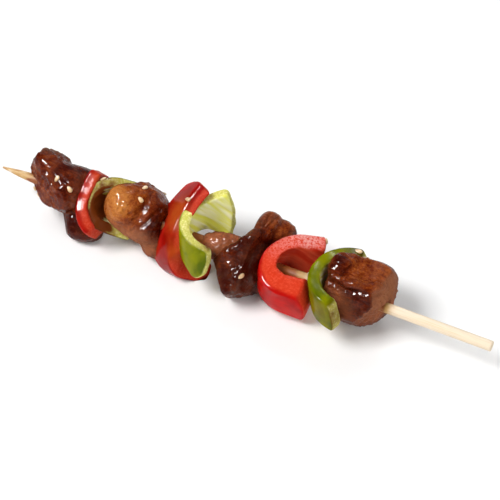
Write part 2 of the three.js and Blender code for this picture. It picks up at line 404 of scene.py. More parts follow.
class Graph:
    """A material's node tree, built one node at a time."""

    def __init__(self, name: str) -> None:
        """Starts a material with an empty node tree.

        Args:
            name: the material's name.
        """
        self.material = bpy.data.materials.new(name)
        self.material.use_nodes = True
        self.tree = self.material.node_tree
        self.tree.nodes.clear()

    def node(
        self,
        kind: str,
        settings: dict[str, object] | None = None,
        inputs: dict[int | str, object] | None = None,
        output: int | str = 0,
    ) -> Wire | None:
        """Adds a node.

        Args:
            kind: the node's type.
            settings: its properties, set first; "stops" gives a colour ramp's places and colours.
            inputs: what each socket holds or is linked to, by name or index.
            output: which result to return.

        Returns:
            The chosen output socket, or None from a node that has none.
        """
        made = self.tree.nodes.new(kind)
        for key, value in (settings or {}).items():
            if key == "stops":
                self._set_stops(made.color_ramp, value)
            else:
                setattr(made, key, value)
        for key, value in (inputs or {}).items():
            socket = made.inputs[key]
            if isinstance(value, Wire):
                self.tree.links.new(value.socket, socket)
            elif isinstance(value, tuple) and socket.type == "RGBA":
                socket.default_value = (*value, 1.0)
            else:
                socket.default_value = value
        return Wire(self, made.outputs[output]) if made.outputs else None

    @staticmethod
    def _set_stops(ramp: bpy.types.ColorRamp, stops: Sequence[tuple[float, Colour]]) -> None:
        """Gives a colour ramp its stops.

        Args:
            ramp: the ramp, which starts with two stops.
            stops: a place from 0 to 1 and a colour for each.
        """
        while len(ramp.elements) < len(stops):
            ramp.elements.new(0.5)
        for element, (place, colour) in zip(ramp.elements, stops):
            element.position = place
            element.color = (*colour, 1.0)

    def place(self, turn: Point = (0, 0, 0), scale: Point = (1, 1, 1)) -> Wire:
        """Reads Object coordinates through a Mapping node.

        Args:
            turn: the turn about each axis, in radians.
            scale: the scale along each axis.

        Returns:
            The turned and scaled coordinates.
        """
        where = self.node("ShaderNodeTexCoord", output="Object")
        inputs = {"Vector": where, "Rotation": turn, "Scale": scale}
        return self.node("ShaderNodeMapping", {"vector_type": "POINT"}, inputs)

    def noise(
        self,
        vector: Wire,
        size: float,
        detail: float = 3.0,
        roughness: float = 0.55,
        twist: float = 0.0,
    ) -> Wire:
        """Adds noise.

        Args:
            vector: where to read it, in metres.
            size: about how wide its lumps are, in millimetres.
            detail: how many finer layers it has.
            roughness: how strong each layer is against the one before.
            twist: how much it swirls.

        Returns:
            Values from 0 to 1.
        """
        inputs = {
            "Vector": vector,
            "Scale": 1.0 / (size * MILLIMETRE),
            "Detail": detail,
            "Roughness": roughness,
            "Distortion": twist,
        }
        return self.node("ShaderNodeTexNoise", {"noise_dimensions": "3D"}, inputs)

    def attribute(self, name: str) -> Wire:
        """Returns one of the mesh's own values."""
        return self.node("ShaderNodeAttribute", {"attribute_name": name}, output="Fac")

    def ramp(self, factor: Wire, stops: Sequence[tuple[float, Colour]]) -> Wire:
        """Returns the colour that a ramp gives for a value."""
        return self.node("ShaderNodeValToRGB", {"stops": stops}, {"Fac": factor})

    def mix(self, factor: Wire, first: Wire | Colour, second: Wire | Colour) -> Wire:
        """Returns a mix of two colours: the first at a factor of 0, the second at 1."""
        settings = {"data_type": "RGBA", "clamp_result": False}
        return self.node("ShaderNodeMix", settings, {"Factor": factor, 6: first, 7: second}, 2)

    def mix_normals(self, factor: Wire, first: Wire, second: Wire) -> Wire:
        """Returns a mix of two normals: the first at a factor of 0, the second at 1."""
        inputs = {"Factor": factor, 4: first, 5: second}
        return self.node("ShaderNodeMix", {"data_type": "VECTOR"}, inputs, 1)

    def bump(
        self, height: Wire, distance: float, strength: float, under: Wire | None = None
    ) -> Wire:
        """Raises the normal by a height.

        Args:
            height: values from 0 to 1.
            distance: how many millimetres they span.
            strength: the share of the effect that is used.
            under: the normal that this one is raised on, if it isn't the surface's own.

        Returns:
            The raised normal.
        """
        inputs = {"Height": height, "Distance": distance * MILLIMETRE, "Strength": strength}
        if under is not None:
            inputs["Normal"] = under
        return self.node("ShaderNodeBump", {}, inputs)

    def finish(self, **inputs: object) -> bpy.types.Material:
        """Closes the material with a Principled shader.

        Args:
            **inputs: what its sockets hold or are linked to, named with underscores for spaces.

        Returns:
            The material.
        """
        named = {key.replace("_", " "): value for key, value in inputs.items()}
        shader = self.node("ShaderNodeBsdfPrincipled", {}, named)
        self.node("ShaderNodeOutputMaterial", {}, {"Surface": shader})
        return self.material


# ----------------------------------------------------------------------------- finishes


GLAZE_ROUGHNESS = 0.05
WET_SPECULAR = 0.015


@dataclass(frozen=True)
class GlazedChicken:
    """Browned chicken under a sticky dark glaze.

    The mesh's `tone` runs from dark glaze at 0 to golden meat at 1, and its `matte` says where the
    surface is dry; one matte patch low on the fourth piece's front is painted reflection. Each
    contrast says how far a noise moves the tone.
    """

    glaze: Colour = (0.036, 0.0018, 0.0)
    mahogany: Colour = (0.115, 0.0125, 0.0010)
    brown: Colour = (0.270, 0.0520, 0.0060)
    gold: Colour = (0.540, 0.195, 0.034)
    dry: Colour = (0.360, 0.150, 0.078)
    patch_contrast: float = 0.70
    strand_contrast: float = 0.50
    speck_contrast: float = 0.60
    dry_share: float = 0.75
    char_share: float = 0.55
    wet_roughness: float = 0.16
    dry_roughness: float = 0.55
    smear_roughness: float = 0.10
    coat: float = 0.27

    def material(self, name: str, fibre_turn: Point) -> bpy.types.Material:
        """Makes the material.

        Args:
            name: the material's name.
            fibre_turn: the turn of the meat's fibres, in radians about each axis.

        Returns:
            The material.
        """
        graph = Graph(name)
        here = graph.place()
        fibres = graph.place(turn=fibre_turn, scale=(0.16, 1.0, 1.0))
        tone = graph.attribute("tone")
        matte = graph.attribute("matte")
        patches = graph.noise(here, size=3.6, detail=5.0, roughness=0.62, twist=0.6)
        strands = graph.noise(fibres, size=0.9, detail=4.0, roughness=0.65)
        specks = graph.noise(here, size=0.6, roughness=0.7)
        shade = tone + (patches - 0.5) * self.patch_contrast
        shade = shade + (strands - 0.5) * self.strand_contrast
        shade = shade + (specks - 0.5) * self.speck_contrast
        stops = [(0.12, self.glaze), (0.36, self.mahogany), (0.6, self.brown), (1.0, self.gold)]
        cooked = graph.ramp(shade, stops)
        # The dry colour; in one patch on the fourth piece's front it is painted reflection.
        dried = graph.mix(matte * self.dry_share, cooked, self.dry)
        char = graph.noise(here, size=6.0, detail=6.0, roughness=0.7, twist=1.2)
        charred = char.between(0.60, 0.72) * self.char_share
        smears = graph.noise(here, size=2.2, roughness=0.6).between(0.35, 0.7)
        dulled = matte * (self.dry_roughness - self.wet_roughness)
        wet = (1.0 - matte * 1.1).between(0.05, 1.0)
        drips = graph.noise(here, size=1.7, detail=2.0, roughness=0.5, twist=0.4)
        relief = graph.bump(strands, distance=0.48, strength=0.7)
        relief = graph.bump(drips, distance=0.55, strength=0.7, under=relief)
        relief = graph.bump(specks, distance=0.10, strength=0.7, under=relief)
        return graph.finish(
            Base_Color=graph.mix(charred, dried, self.glaze),
            Roughness=self.wet_roughness + smears * self.smear_roughness + dulled,
            Coat_Weight=wet * self.coat,
            Coat_Roughness=GLAZE_ROUGHNESS,
            Normal=relief,
            Specular_IOR_Level=WET_SPECULAR,
        )


@dataclass(frozen=True)
class PepperFinish:
    """A pepper's skin, cut flesh and hollow side.

    The mesh's `skin` is 1 on the outer skin, its `hollow` is 1 on the inner side and `rib` on the
    ribs there. Its `pale` says where a painted sheen shows: speckled pale pink on the flesh that
    stands in for a soft reflection. Its `sauce_and_shade` says where brown sauce shows, and on the
    first green piece's hollow side it paints shade as well.
    """

    name: str
    skin: Colour
    skin_deep: Colour
    flesh: Colour
    flesh_pale: Colour
    hollow: Colour
    rib: Colour
    blister: Colour
    painted_sheen: Colour
    # Dark brown sauce, which on one piece also serves as painted shade.
    sauce_and_shade: Colour = (0.110, 0.022, 0.0030)
    blister_share: float = 0.5
    cut_roughness: float = 0.34
    skin_roughness: float = 0.17
    grain_roughness: float = 0.2
    cut_coat: float = 0.04
    skin_coat: float = 0.15

    def material(self) -> bpy.types.Material:
        """Makes the material.

        Returns:
            The material: skin, flesh and hollow mixed by the mesh's own values.
        """
        graph = Graph(self.name)
        here = graph.place()
        skin = graph.attribute("skin")
        broad = graph.noise(here, size=9.0, roughness=0.5, twist=0.4).between(0.35, 0.68)
        blister = graph.noise(here, size=2.6, detail=5.0, roughness=0.65, twist=0.5)
        blistered = blister.between(0.66, 0.78) * self.blister_share
        grains = graph.noise(here, size=0.8, detail=4.0, roughness=0.7)
        skin_colour = graph.mix(broad, self.skin_deep, self.skin)
        skin_colour = graph.mix(blistered, skin_colour, self.blister)
        flesh_colour = graph.mix(grains.between(0.42, 0.72), self.flesh, self.flesh_pale)
        hollow_colour = graph.mix(graph.attribute("rib"), self.hollow, self.rib)
        inside = graph.mix(graph.attribute("hollow"), flesh_colour, hollow_colour)
        colour = graph.mix(skin, inside, skin_colour)
        # Painted sheen: speckled pale pink on the flesh stands in for a soft reflection of the
        # light.
        painted_sheen = graph.attribute("pale") * grains.between(0.35, 0.60)
        colour = graph.mix(painted_sheen, colour, self.painted_sheen)
        # Brown sauce; on the first green piece's hollow side the same dark brown also paints
        # shade.
        colour = graph.mix(graph.attribute("sauce_and_shade"), colour, self.sauce_and_shade)
        smooth = skin * (self.skin_roughness - self.cut_roughness)
        relief = graph.bump(grains, distance=0.16, strength=0.5)
        dents = graph.noise(here, size=3.0, roughness=0.5)
        skin_relief = graph.bump(dents, distance=0.20, strength=0.3)
        return graph.finish(
            Base_Color=colour,
            Roughness=self.cut_roughness + smooth + (grains - 0.5) * self.grain_roughness,
            Coat_Weight=self.cut_coat + skin * (self.skin_coat - self.cut_coat),
            Coat_Roughness=GLAZE_ROUGHNESS,
            Normal=graph.mix_normals(skin, relief, skin_relief),
            Specular_IOR_Level=WET_SPECULAR,
            Subsurface_Weight=0.06,
            Subsurface_Radius=(1.0, 0.5, 0.25),
            Subsurface_Scale=0.0015,
        )


@dataclass(frozen=True)
class Bamboo:
    """Pale split bamboo, darkened by scorch, sauce and painted shade where `scorch` is above 0."""

    pale: Colour = (0.82, 0.69, 0.52)
    straw: Colour = (0.76, 0.56, 0.33)
    toasted: Colour = (0.52, 0.31, 0.10)
    scorched_and_shaded: Colour = (0.27, 0.075, 0.015)
    unevenness: float = 0.7
    roughness: float = 0.62
    blotch_gloss: float = 0.1

    def material(self, name: str) -> bpy.types.Material:
        """Makes the material.

        Args:
            name: the material's name.

        Returns:
            The material, with its grain drawn out along the stick.
        """
        graph = Graph(name)
        scorch = graph.attribute("scorch")
        grain_place = graph.place(scale=(0.025, 1.0, 1.0))
        grain = graph.noise(grain_place, size=0.35, detail=4.0, roughness=0.6)
        blotch_place = graph.place(scale=(0.3, 1.0, 1.0))
        blotch = graph.noise(blotch_place, size=1.6, detail=4.0, roughness=0.6)
        wood = graph.mix(grain.between(0.42, 0.78), self.pale, self.straw)
        # The toasted and scorched colours are real scorch and sauce, plus painted shade on the
        # bare stick in the gap.
        toasted = graph.mix(scorch.between(0.05, 0.45), wood, self.toasted)
        burnt_and_shaded = (scorch + (blotch - 0.5) * self.unevenness).between(0.45, 0.95)
        return graph.finish(
            Base_Color=graph.mix(burnt_and_shaded, toasted, self.scorched_and_shaded),
            Roughness=self.roughness - blotch * self.blotch_gloss,
            Normal=graph.bump(grain, distance=0.12, strength=0.6),
            Specular_IOR_Level=0.35,
        )


@dataclass(frozen=True)
class Toasted:
    """Toasted sesame seed, glazed here and there."""

    pale: Colour = (0.74, 0.52, 0.28)
    brown: Colour = (0.44, 0.20, 0.06)
    roughness: float = 0.38
    coat: float = 0.3
    coat_roughness: float = 0.2

    def material(self, name: str) -> bpy.types.Material:
        """Makes the material.

        Args:
            name: the material's name.

        Returns:
            The material.
        """
        graph = Graph(name)
        here = graph.place()
        blotch = graph.noise(here, size=1.8, roughness=0.6).between(0.45, 0.75)
        return graph.finish(
            Base_Color=graph.mix(blotch, self.pale, self.brown),
            Roughness=self.roughness,
            Coat_Weight=self.coat,
            Coat_Roughness=self.coat_roughness,
            Normal=graph.bump(graph.noise(here, size=0.4), distance=0.05, strength=0.5),
        )


RED_PEPPER = PepperFinish(
    name="red_pepper_finish",
    skin=(0.56, 0.008, 0.005),
    skin_deep=(0.34, 0.001, 0.001),
    flesh=(0.60, 0.038, 0.012),
    flesh_pale=(0.72, 0.078, 0.036),
    hollow=(0.50, 0.028, 0.010),
    rib=(0.66, 0.080, 0.035),
    blister=(0.44, 0.055, 0.004),
    painted_sheen=(0.72, 0.30, 0.27),
    sauce_and_shade=(0.44, 0.062, 0.008),
)
DEEP_RED_PEPPER = PepperFinish(
    name="deep_red_pepper_finish",
    skin=(0.41, 0.007, 0.005),
    skin_deep=(0.23, 0.001, 0.001),
    flesh=(0.46, 0.030, 0.012),
    flesh_pale=(0.56, 0.064, 0.034),
    hollow=(0.38, 0.020, 0.008),
    rib=(0.50, 0.060, 0.030),
    blister=(0.34, 0.040, 0.004),
    painted_sheen=(0.72, 0.30, 0.27),
    sauce_and_shade=(0.39, 0.056, 0.008),
)
GREEN_PEPPER = PepperFinish(
    name="green_pepper_finish",
    skin=(0.220, 0.228, 0.0),
    skin_deep=(0.072, 0.100, 0.0),
    flesh=(0.60, 0.57, 0.100),
    flesh_pale=(0.90, 0.85, 0.380),
    # Partly painted light: the hollow side's own pale yellow-green, and its ribs, made lighter
    # still to brighten the hollow, which the wall shades.
    hollow=(0.84, 0.84, 0.120),
    rib=(0.98, 0.98, 0.620),
    blister=(0.22, 0.14, 0.0),
    painted_sheen=(0.82, 0.80, 0.52),
)


# ----------------------------------------------------------------------------- display side


FACING: Point = (0.31, 0.0, 1.0)
TURNED_AWAY = 0.05
AWAY_PENALTY = 50.0
FORWARD_LIKING = 0.05
SAME_SIDE = (0.35, 0.85)


@dataclass(frozen=True)
class Spot:
    """A place on the display side of a piece: along the skewer, and up across it."""

    along: float
    up: float


@dataclass(frozen=True)
class Tint:
    """How a patch looks: its place, its reach, its tone or strength, and how matte it is."""

    spot: Spot
    reach: float
    tone: float
    matte: float = 0.0


@dataclass
class Surface:
    """A finished piece: its object, and its points and normals in the threading frame."""

    obj: bpy.types.Object
    points: np.ndarray
    normals: np.ndarray

    def find(self, spot: Spot) -> tuple[np.ndarray, np.ndarray]:
        """Returns the point of the display side that shows at a spot, and its normal."""
        index = find_spot(self.points, self.normals, spot)
        return self.points[index], self.normals[index]


def find_spot(points: np.ndarray, normals: np.ndarray, spot: Spot) -> tuple[int, ...]:
    """Finds the place on a surface that shows at a spot of the display side.

    Args:
        points: the surface, (..., 3), in the threading frame.
        normals: its normals.
        spot: where to look.

    Returns:
        The index of the point that lies nearest to the line through the spot along FACING, among
        those that face that way, with a small preference for points further forward.
    """
    shown_along = points[..., 0] - points[..., 2] * FACING[0] / FACING[2]
    off = np.hypot(shown_along - spot.along, points[..., 1] - spot.up)
    away = np.where(normals @ unit(np.array(FACING)) > TURNED_AWAY, 0.0, AWAY_PENALTY)
    best = np.argmin(off + away - FORWARD_LIKING * points[..., 2])
    return np.unravel_index(best, points.shape[:-1])


def nearness(points: np.ndarray, normals: np.ndarray, tint: Tint) -> np.ndarray:
    """Weighs every point of a surface by how well it belongs to a tint's patch.

    Args:
        points: the surface, (..., 3), in the threading frame.
        normals: its normals.
        tint: the patch.

    Returns:
        e^-(distance / reach)^2, less where the surface turns away from the patch's own normal.
    """
    index = find_spot(points, normals, tint.spot)
    away = np.linalg.norm(points - points[index], axis=-1)
    return np.exp(-((away / tint.reach) ** 2)) * smooth_step(*SAME_SIDE, normals @ normals[index])


# ----------------------------------------------------------------------------- pepper


RIB_AXES = np.array([[0.9, 0.44, 0.0], [-0.44, 0.9, 0.0], [0.0, 0.0, 1.0]])
RIB_STREAKS = Grain((12.0, 1.2, 3.0), 0, 4)
WALL_LUMPS = Grain(7.0, 1, 2)
RIM_WAVES = Grain(9.0, 2, 3)
END_WAVES = Grain((9.0, 3.0, 9.0), 3, 3)
RIB_STRAYING = Grain(7.0, 4, 2)
SKIN_BORDER = Grain(4.0, 5, 3)
PATCH_EDGES = Grain(2.0, 9, 3)


@dataclass(frozen=True)
class Bend:
    """How one arm of a pepper piece bends: along an arc of a radius, for a number of degrees.

    The arm closes in by a share of its reach at its foot.
    """

    radius: float
    angle: float
    closing: float = 0.0


@dataclass(frozen=True)
class PepperPiece:
    """A four-cornered cut of a pepper's wall, pierced by the skewer.

    Each corner is [arm, rim] in millimetres along the wall from where the skewer pierces it. The
    wall bends towards the skewer's blunt end, is cupped along the rim direction (1/mm), leans by a
    slope that twists along the arm (1/mm), and is turned about the skewer by a number of degrees.
    Its hollow side swells with each millimetre of the lower arm by a share of it. The skin reaches
    over the rim edge by a share of the wall's thickness. Ribs, lumps, dents and waves are in
    millimetres, and so are the depths that the skin's and the hollow side's colours fade over.
    Edges are given in the square that `flat` maps.
    """

    name: str
    finish: PepperFinish
    station: float
    turn: float
    thickness: float
    upper: Bend
    lower: Bend
    lower_foot: tuple[float, float]
    upper_foot: tuple[float, float]
    upper_rim: tuple[float, float]
    lower_rim: tuple[float, float]
    lean: float = 0.0
    twist: float = 0.0
    cup: float = 0.01
    rim_sag: float = 0.0
    foot_rise: float = 0.0
    end_sag: float = 0.0
    swell: float = 0.0
    rim_skin: float = 0.12
    # Patches of sauce, with painted shade among them on one piece, and patches of painted sheen.
    sauce_and_shade: tuple[Tint, ...] = ()
    pale: tuple[Tint, ...] = ()
    seed: int = 1
    corner_rounding: float = 0.16
    edge_radius: float = 1.1
    end_rows: int = 12
    rib_height: float = 0.35
    hollow_lumps: float = 0.25
    skin_dents: float = 0.30
    rim_wave: float = 0.6
    end_wave: float = 0.5
    rib_straying: float = 0.7
    rib_share: tuple[float, float] = (-0.35, 0.50)
    skin_fade: tuple[float, float] = (0.2, 0.55)
    hollow_fade: tuple[float, float] = (0.1, 0.5)
    hollow_end: float = 0.97
    rim_edge: tuple[float, float] = (0.75, 1.0)
    arm_edge: tuple[float, float] = (0.9, 1.0)
    skin_rim: tuple[float, float] = (0.80, 0.93)
    border_straying: float = 0.5
    border_fade: float = 0.7
    patch_unevenness: float = 0.6

    def bent(
        self, arm: np.ndarray, rim: np.ndarray, depth: np.ndarray, height: np.ndarray
    ) -> np.ndarray:
        """Carries wall coordinates onto the bent wall, in the threading frame.

        Args:
            arm: distance along the wall across the skewer.
            rim: distance along the wall towards the edge that faces up.
            depth: distance through the wall, positive on the hollow side.
            height: share of the way from the foot edge to the rim edge.

        Returns:
            Points. Along an arc of radius r, an arm of length s turns by t = s / r and reaches
            r(1 - cos t) along the skewer and r sin t across it; past the arc it runs straight on.
            What it reaches across shrinks towards the foot by the arm's closing.
        """
        closing = np.where(arm < 0, self.lower.closing, self.upper.closing)
        radius = np.where(arm < 0, self.lower.radius, self.upper.radius)
        most = np.radians(np.where(arm < 0, self.lower.angle, self.upper.angle))
        length = np.abs(arm)
        bend = np.minimum(length / radius, most)
        straight = length - bend * radius
        swollen = self.swell * np.maximum(-arm, 0) * (depth / self.thickness + 0.5)
        depth = depth + swollen + self.cup * rim**2 / 2
        x = radius * (1 - np.cos(bend)) + straight * np.sin(bend) + np.cos(bend) * depth
        x = x + (self.lean + self.twist * arm) * rim + self.station
        across = radius * np.sin(bend) + straight * np.cos(bend) - np.sin(bend) * depth
        across = np.sign(arm) * across * (1 - closing * (1 - height))
        return np.stack([x, *turned_pair(across, rim, self.turn)], axis=-1)

    def flat(self, a: np.ndarray, b: np.ndarray) -> tuple[np.ndarray, np.ndarray, np.ndarray]:
        """Maps a square from -1 to 1 onto the piece's flat outline.

        Args:
            a: place from the lower end at -1 to the upper end at 1.
            b: place from the foot edge at -1 to the rim edge at 1.

        Returns:
            arm, rim, and the share of the way from foot to rim. The square's corners are drawn in
            by the root of 1 - rounding times the other coordinate squared, then the four corners
            are blended in both directions, and the foot, the rim and the lower end bowed by
            parabolas.
        """
        u = 0.5 + 0.5 * a * np.sqrt(1 - self.corner_rounding * b * b)
        v = 0.5 + 0.5 * b * np.sqrt(1 - self.corner_rounding * a * a)
        foot = [low + (high - low) * u for low, high in zip(self.lower_foot, self.upper_foot)]
        rim = [low + (high - low) * u for low, high in zip(self.lower_rim, self.upper_rim)]
        bow = (self.foot_rise + (-self.rim_sag - self.foot_rise) * v) * 4 * u * (1 - u)
        bow = bow - self.end_sag * 4 * v * (1 - v) * (1 - u) ** 2
        return foot[0] + (rim[0] - foot[0]) * v, foot[1] + (rim[1] - foot[1]) * v + bow, v

    def sections(self, rows: int, around: int) -> tuple[np.ndarray, np.ndarray, np.ndarray]:
        """Lays out the wall's sections from end to end.

        Args:
            rows: steps along the arms, ends included.
            around: steps round each section.

        Returns:
            The places a and b in the square that `flat` maps, and the depth through the wall,
            (rows, around) each: rectangles with rounded corners, drawn in along a quarter circle
            at each end and then closed to a pole.
        """
        half, radius, ends = self.thickness / 2, self.edge_radius, self.end_rows
        closing = np.linspace(0, 1, ends, endpoint=False)
        quarter = np.linspace(0, math.pi / 2, ends)
        reach = self.upper_foot[0] + self.upper_rim[0] - self.lower_foot[0] - self.lower_rim[0]
        half_arm = reach / 4
        outer = 1 - radius / half_arm * (1 - np.sin(quarter))
        middle_rows = rows - 4 * ends
        middle = np.linspace(-outer[0], outer[0], middle_rows + 2)[1:-1]
        outer = np.concatenate([outer, np.ones(ends)])
        a = np.concatenate([-outer[::-1], middle, outer])
        inset = np.concatenate([radius * (1 - np.cos(quarter)), np.full(ends, radius)])
        inset = np.concatenate([inset[::-1], np.zeros(middle_rows), inset])
        scale = np.concatenate([closing, np.ones(rows - 2 * ends), closing[::-1]])
        foot = self.flat(a, np.full(rows, -1.0))[1]
        rim = self.flat(a, np.full(rows, 1.0))[1]
        wide = (rim - foot) / 2
        section = rounded_rectangle(around, wide.mean(), half, radius)
        b = section[:, 0] * ((wide - inset) / wide * scale)[:, None]
        depth = section[:, 1] * ((half - inset) * scale)[:, None]
        return np.repeat(a[:, None], around, axis=1), b, depth

    def streaks(self, place: np.ndarray) -> np.ndarray:
        """Draws the streaks that the hollow side's ribs rise from.

        Args:
            place: wall coordinates, (..., 3): arm, rim and depth.

        Returns:
            Noise of about -1 to 1, drawn out along a slanting line that wanders.
        """
        drawn = place @ RIB_AXES
        drawn[..., 1] += self.rib_straying * RIB_STRAYING.at(place, self.seed)
        return RIB_STREAKS.at(drawn, self.seed)

    def patched(
        self, points: np.ndarray, normals: np.ndarray, patches: Sequence[Tint]
    ) -> np.ndarray:
        """Adds up how strongly patches show, with uneven edges: sauce, with painted shade among it
        on one piece, and a painted sheen of pale flesh on another.

        Args:
            points: the surface, (..., 3), in the threading frame.
            normals: its normals.
            patches: where they lie, and how strong each is.

        Returns:
            A share from 0 to 1 at each point.
        """
        amount = np.zeros(points.shape[:-1])
        for patch in patches:
            amount += patch.tone * nearness(points, normals, patch)
        uneven = self.patch_unevenness * PATCH_EDGES.at(points, self.seed)
        return np.clip(amount * (1 + uneven), 0, 1)

    def over_rim(self, place: np.ndarray, b: np.ndarray) -> np.ndarray:
        """Works out how far the skin's colour reaches over the rim edge, with an uneven border.

        Args:
            place: wall coordinates, (..., 3): arm, rim and depth.
            b: place from the foot edge at -1 to the rim edge at 1.

        Returns:
            The share of skin at each point.
        """
        border = (self.rim_skin - 0.5) * self.thickness
        border = border + self.border_straying * SKIN_BORDER.at(place, self.seed)
        fade = self.border_fade
        skin = smooth_step(border + fade, border - fade, place[..., 2])
        return skin * smooth_step(*self.skin_rim, b)

    def build(self, threading: Threading, rows: int = 190, around: int = 128) -> Surface:
        """Builds the piece as a rounded rectangle carried along the arms.

        Args:
            threading: places the piece.
            rows: steps along the arms, ends included.
            around: steps round the wall's section.

        Returns:
            The piece, with ribs on the hollow side, a wavy cut and a gently dented skin.
        """
        half = self.thickness / 2
        a, b, depth = self.sections(rows, around)
        arm, rim, height = self.flat(a, b)
        place = np.stack([arm, rim, depth], axis=-1)
        skin = 1 - smooth_step(*self.skin_fade, half + depth)
        hollow = 1 - smooth_step(*self.hollow_fade, half - depth)
        hollow = hollow * (np.abs(b) < self.hollow_end)
        streaks = self.streaks(place)
        lumps = WALL_LUMPS.at(place, self.seed)
        raised = hollow * (self.rib_height * streaks + self.hollow_lumps * lumps)
        depth = depth + raised - skin * self.skin_dents * lumps
        wave = RIM_WAVES.at(place, self.seed) * smooth_step(*self.rim_edge, np.abs(b))
        rim = rim + self.rim_wave * wave
        wave = END_WAVES.at(place, self.seed) * smooth_step(*self.arm_edge, np.abs(a))
        arm = arm + self.end_wave * wave
        points = threading.rest(self.bent(arm, rim, depth, height))
        normals = grid_normals(points)
        values = {
            "skin": np.maximum(skin, self.over_rim(place, b)),
            "hollow": hollow,
            "rib": smooth_step(*self.rib_share, streaks) * hollow,
            # Sauce, with painted shade among it, and the painted sheen of pale flesh.
            "sauce_and_shade": self.patched(points, normals, self.sauce_and_shade),
            "pale": self.patched(points, normals, self.pale),
        }
        obj = closed_object(self.name, threading.place(points), values)
        return Surface(obj, points, normals)


def rounded_rectangle(steps: int, wide: float, half: float, radius: float) -> np.ndarray:
    """Traces a rectangle with rounded corners.

    Args:
        steps: how many points are made.
        wide: half its width.
        half: half its height.
        radius: of its corners.

    Returns:
        Points as shares of wide and half, (steps, 2): steps of equal length along the four sides
        and quarter circles.
    """
    flat_x, flat_y, quarter = wide - radius, half - radius, radius * math.pi / 2
    lengths = np.array([2 * flat_y, quarter, 2 * flat_x, quarter] * 2)
    ends = np.concatenate([[0], np.cumsum(lengths)])
    place = np.linspace(0, ends[-1], steps, endpoint=False)
    part = np.searchsorted(ends, place, side="right") - 1
    share = (place - ends[part]) / lengths[part]
    corner = part // 2
    turned = math.pi / 2 * (corner + share)
    centre_x = np.array([1, -1, -1, 1])[corner] * flat_x
    centre_y = np.array([1, 1, -1, -1])[corner] * flat_y
    run, still = 1 - 2 * share, np.ones(steps)
    sides_x = [wide * still, flat_x * run, -wide * still, -flat_x * run]
    sides_y = [-flat_y * run, half * still, flat_y * run, -half * still]
    curved = part % 2 == 1
    x = np.where(curved, centre_x + radius * np.cos(turned), np.choose(corner, sides_x))
    y = np.where(curved, centre_y + radius * np.sin(turned), np.choose(corner, sides_y))
    return np.stack([x / wide, y / half], axis=-1)


# ----------------------------------------------------------------------------- chicken


BROAD_LUMPS = Grain(7.0, 0, 3)
STRANDS = Grain((9.0, 1.3, 1.3), 1, 3)
RAGS = Grain(1.8, 2, 3)
RAG_PATCHES = Grain(6.0, 3)
FOLD_STRAYING = Grain(3.5, 4, 2)
BROWNING = Grain(4.0, 7, 3)


@dataclass(frozen=True)
class Facet:
    """A flat side that shaves a lobe: a point on it, and the way it faces."""

    at: Point
    normal: Point


@dataclass(frozen=True)
class Lobe:
    """A rounded block of meat: its centre, half sizes, tilt in degrees about Z, and squareness.

    A squareness of 2 makes an ellipsoid, and more makes it boxier.
    """

    at: Point
    half: Point
    tilt: float = 0.0
    square: float = 2.5
    facets: tuple[Facet, ...] = ()
    facet_sharpness: float = 34.0

    def gauge(self, points: np.ndarray) -> np.ndarray:
        """Measures points against the lobe: below 1 inside, 1 on its surface, more outside.

        Args:
            points: in the threading frame.

        Returns:
            The root of the sum of |local / half| raised to the squareness, joined with each
            facet's share of the way out to its plane by a high power sum.
        """
        centre = np.array(self.at)
        away = points - centre
        local = [*turned_pair(away[..., 0], away[..., 1], self.tilt), away[..., 2]]
        powers = sum(np.abs(one / half) ** self.square for one, half in zip(local, self.half))
        cut = np.maximum(powers, SMALLEST) ** (self.facet_sharpness / self.square)
        for facet in self.facets:
            normal = np.array(facet.normal)
            plane = (np.array(facet.at) - centre) @ normal
            cut += np.maximum(0, away @ normal / plane) ** self.facet_sharpness
        return cut ** (1 / self.facet_sharpness)


@dataclass(frozen=True)
class Fold:
    """A groove or, with a height above 0, a ridge across a piece's display side.

    It runs through its spot at an angle in degrees from the skewer, for half its length each way,
    and fades out over shares of its length. Its line strays by a share of its width.
    """

    spot: Spot
    angle: float
    length: float
    width: float
    height: float
    straying: float = 0.6
    fade: tuple[float, float] = (0.5, 0.3)

    def relief(self, points: np.ndarray, normals: np.ndarray, wander: np.ndarray) -> np.ndarray:
        """Works out how far the fold raises a surface.

        Args:
            points: the surface, (..., 3), in the threading frame.
            normals: its normals.
            wander: noise that its line strays by.

        Returns:
            Heights in millimetres: a bell curve e^-(d/width)^2 of the distance d from its line,
            fading out towards its ends.
        """
        away = points - points[find_spot(points, normals, self.spot)]
        angle = math.radians(self.angle)
        line = np.array([math.cos(angle), math.sin(angle), 0.0])
        side = unit(np.cross(np.array(FACING), line))
        off = away @ side + self.straying * self.width * wander
        fade = smooth_step(*self.fade, np.linalg.norm(away, axis=-1) / self.length)
        return self.height * np.exp(-((off / self.width) ** 2)) * fade


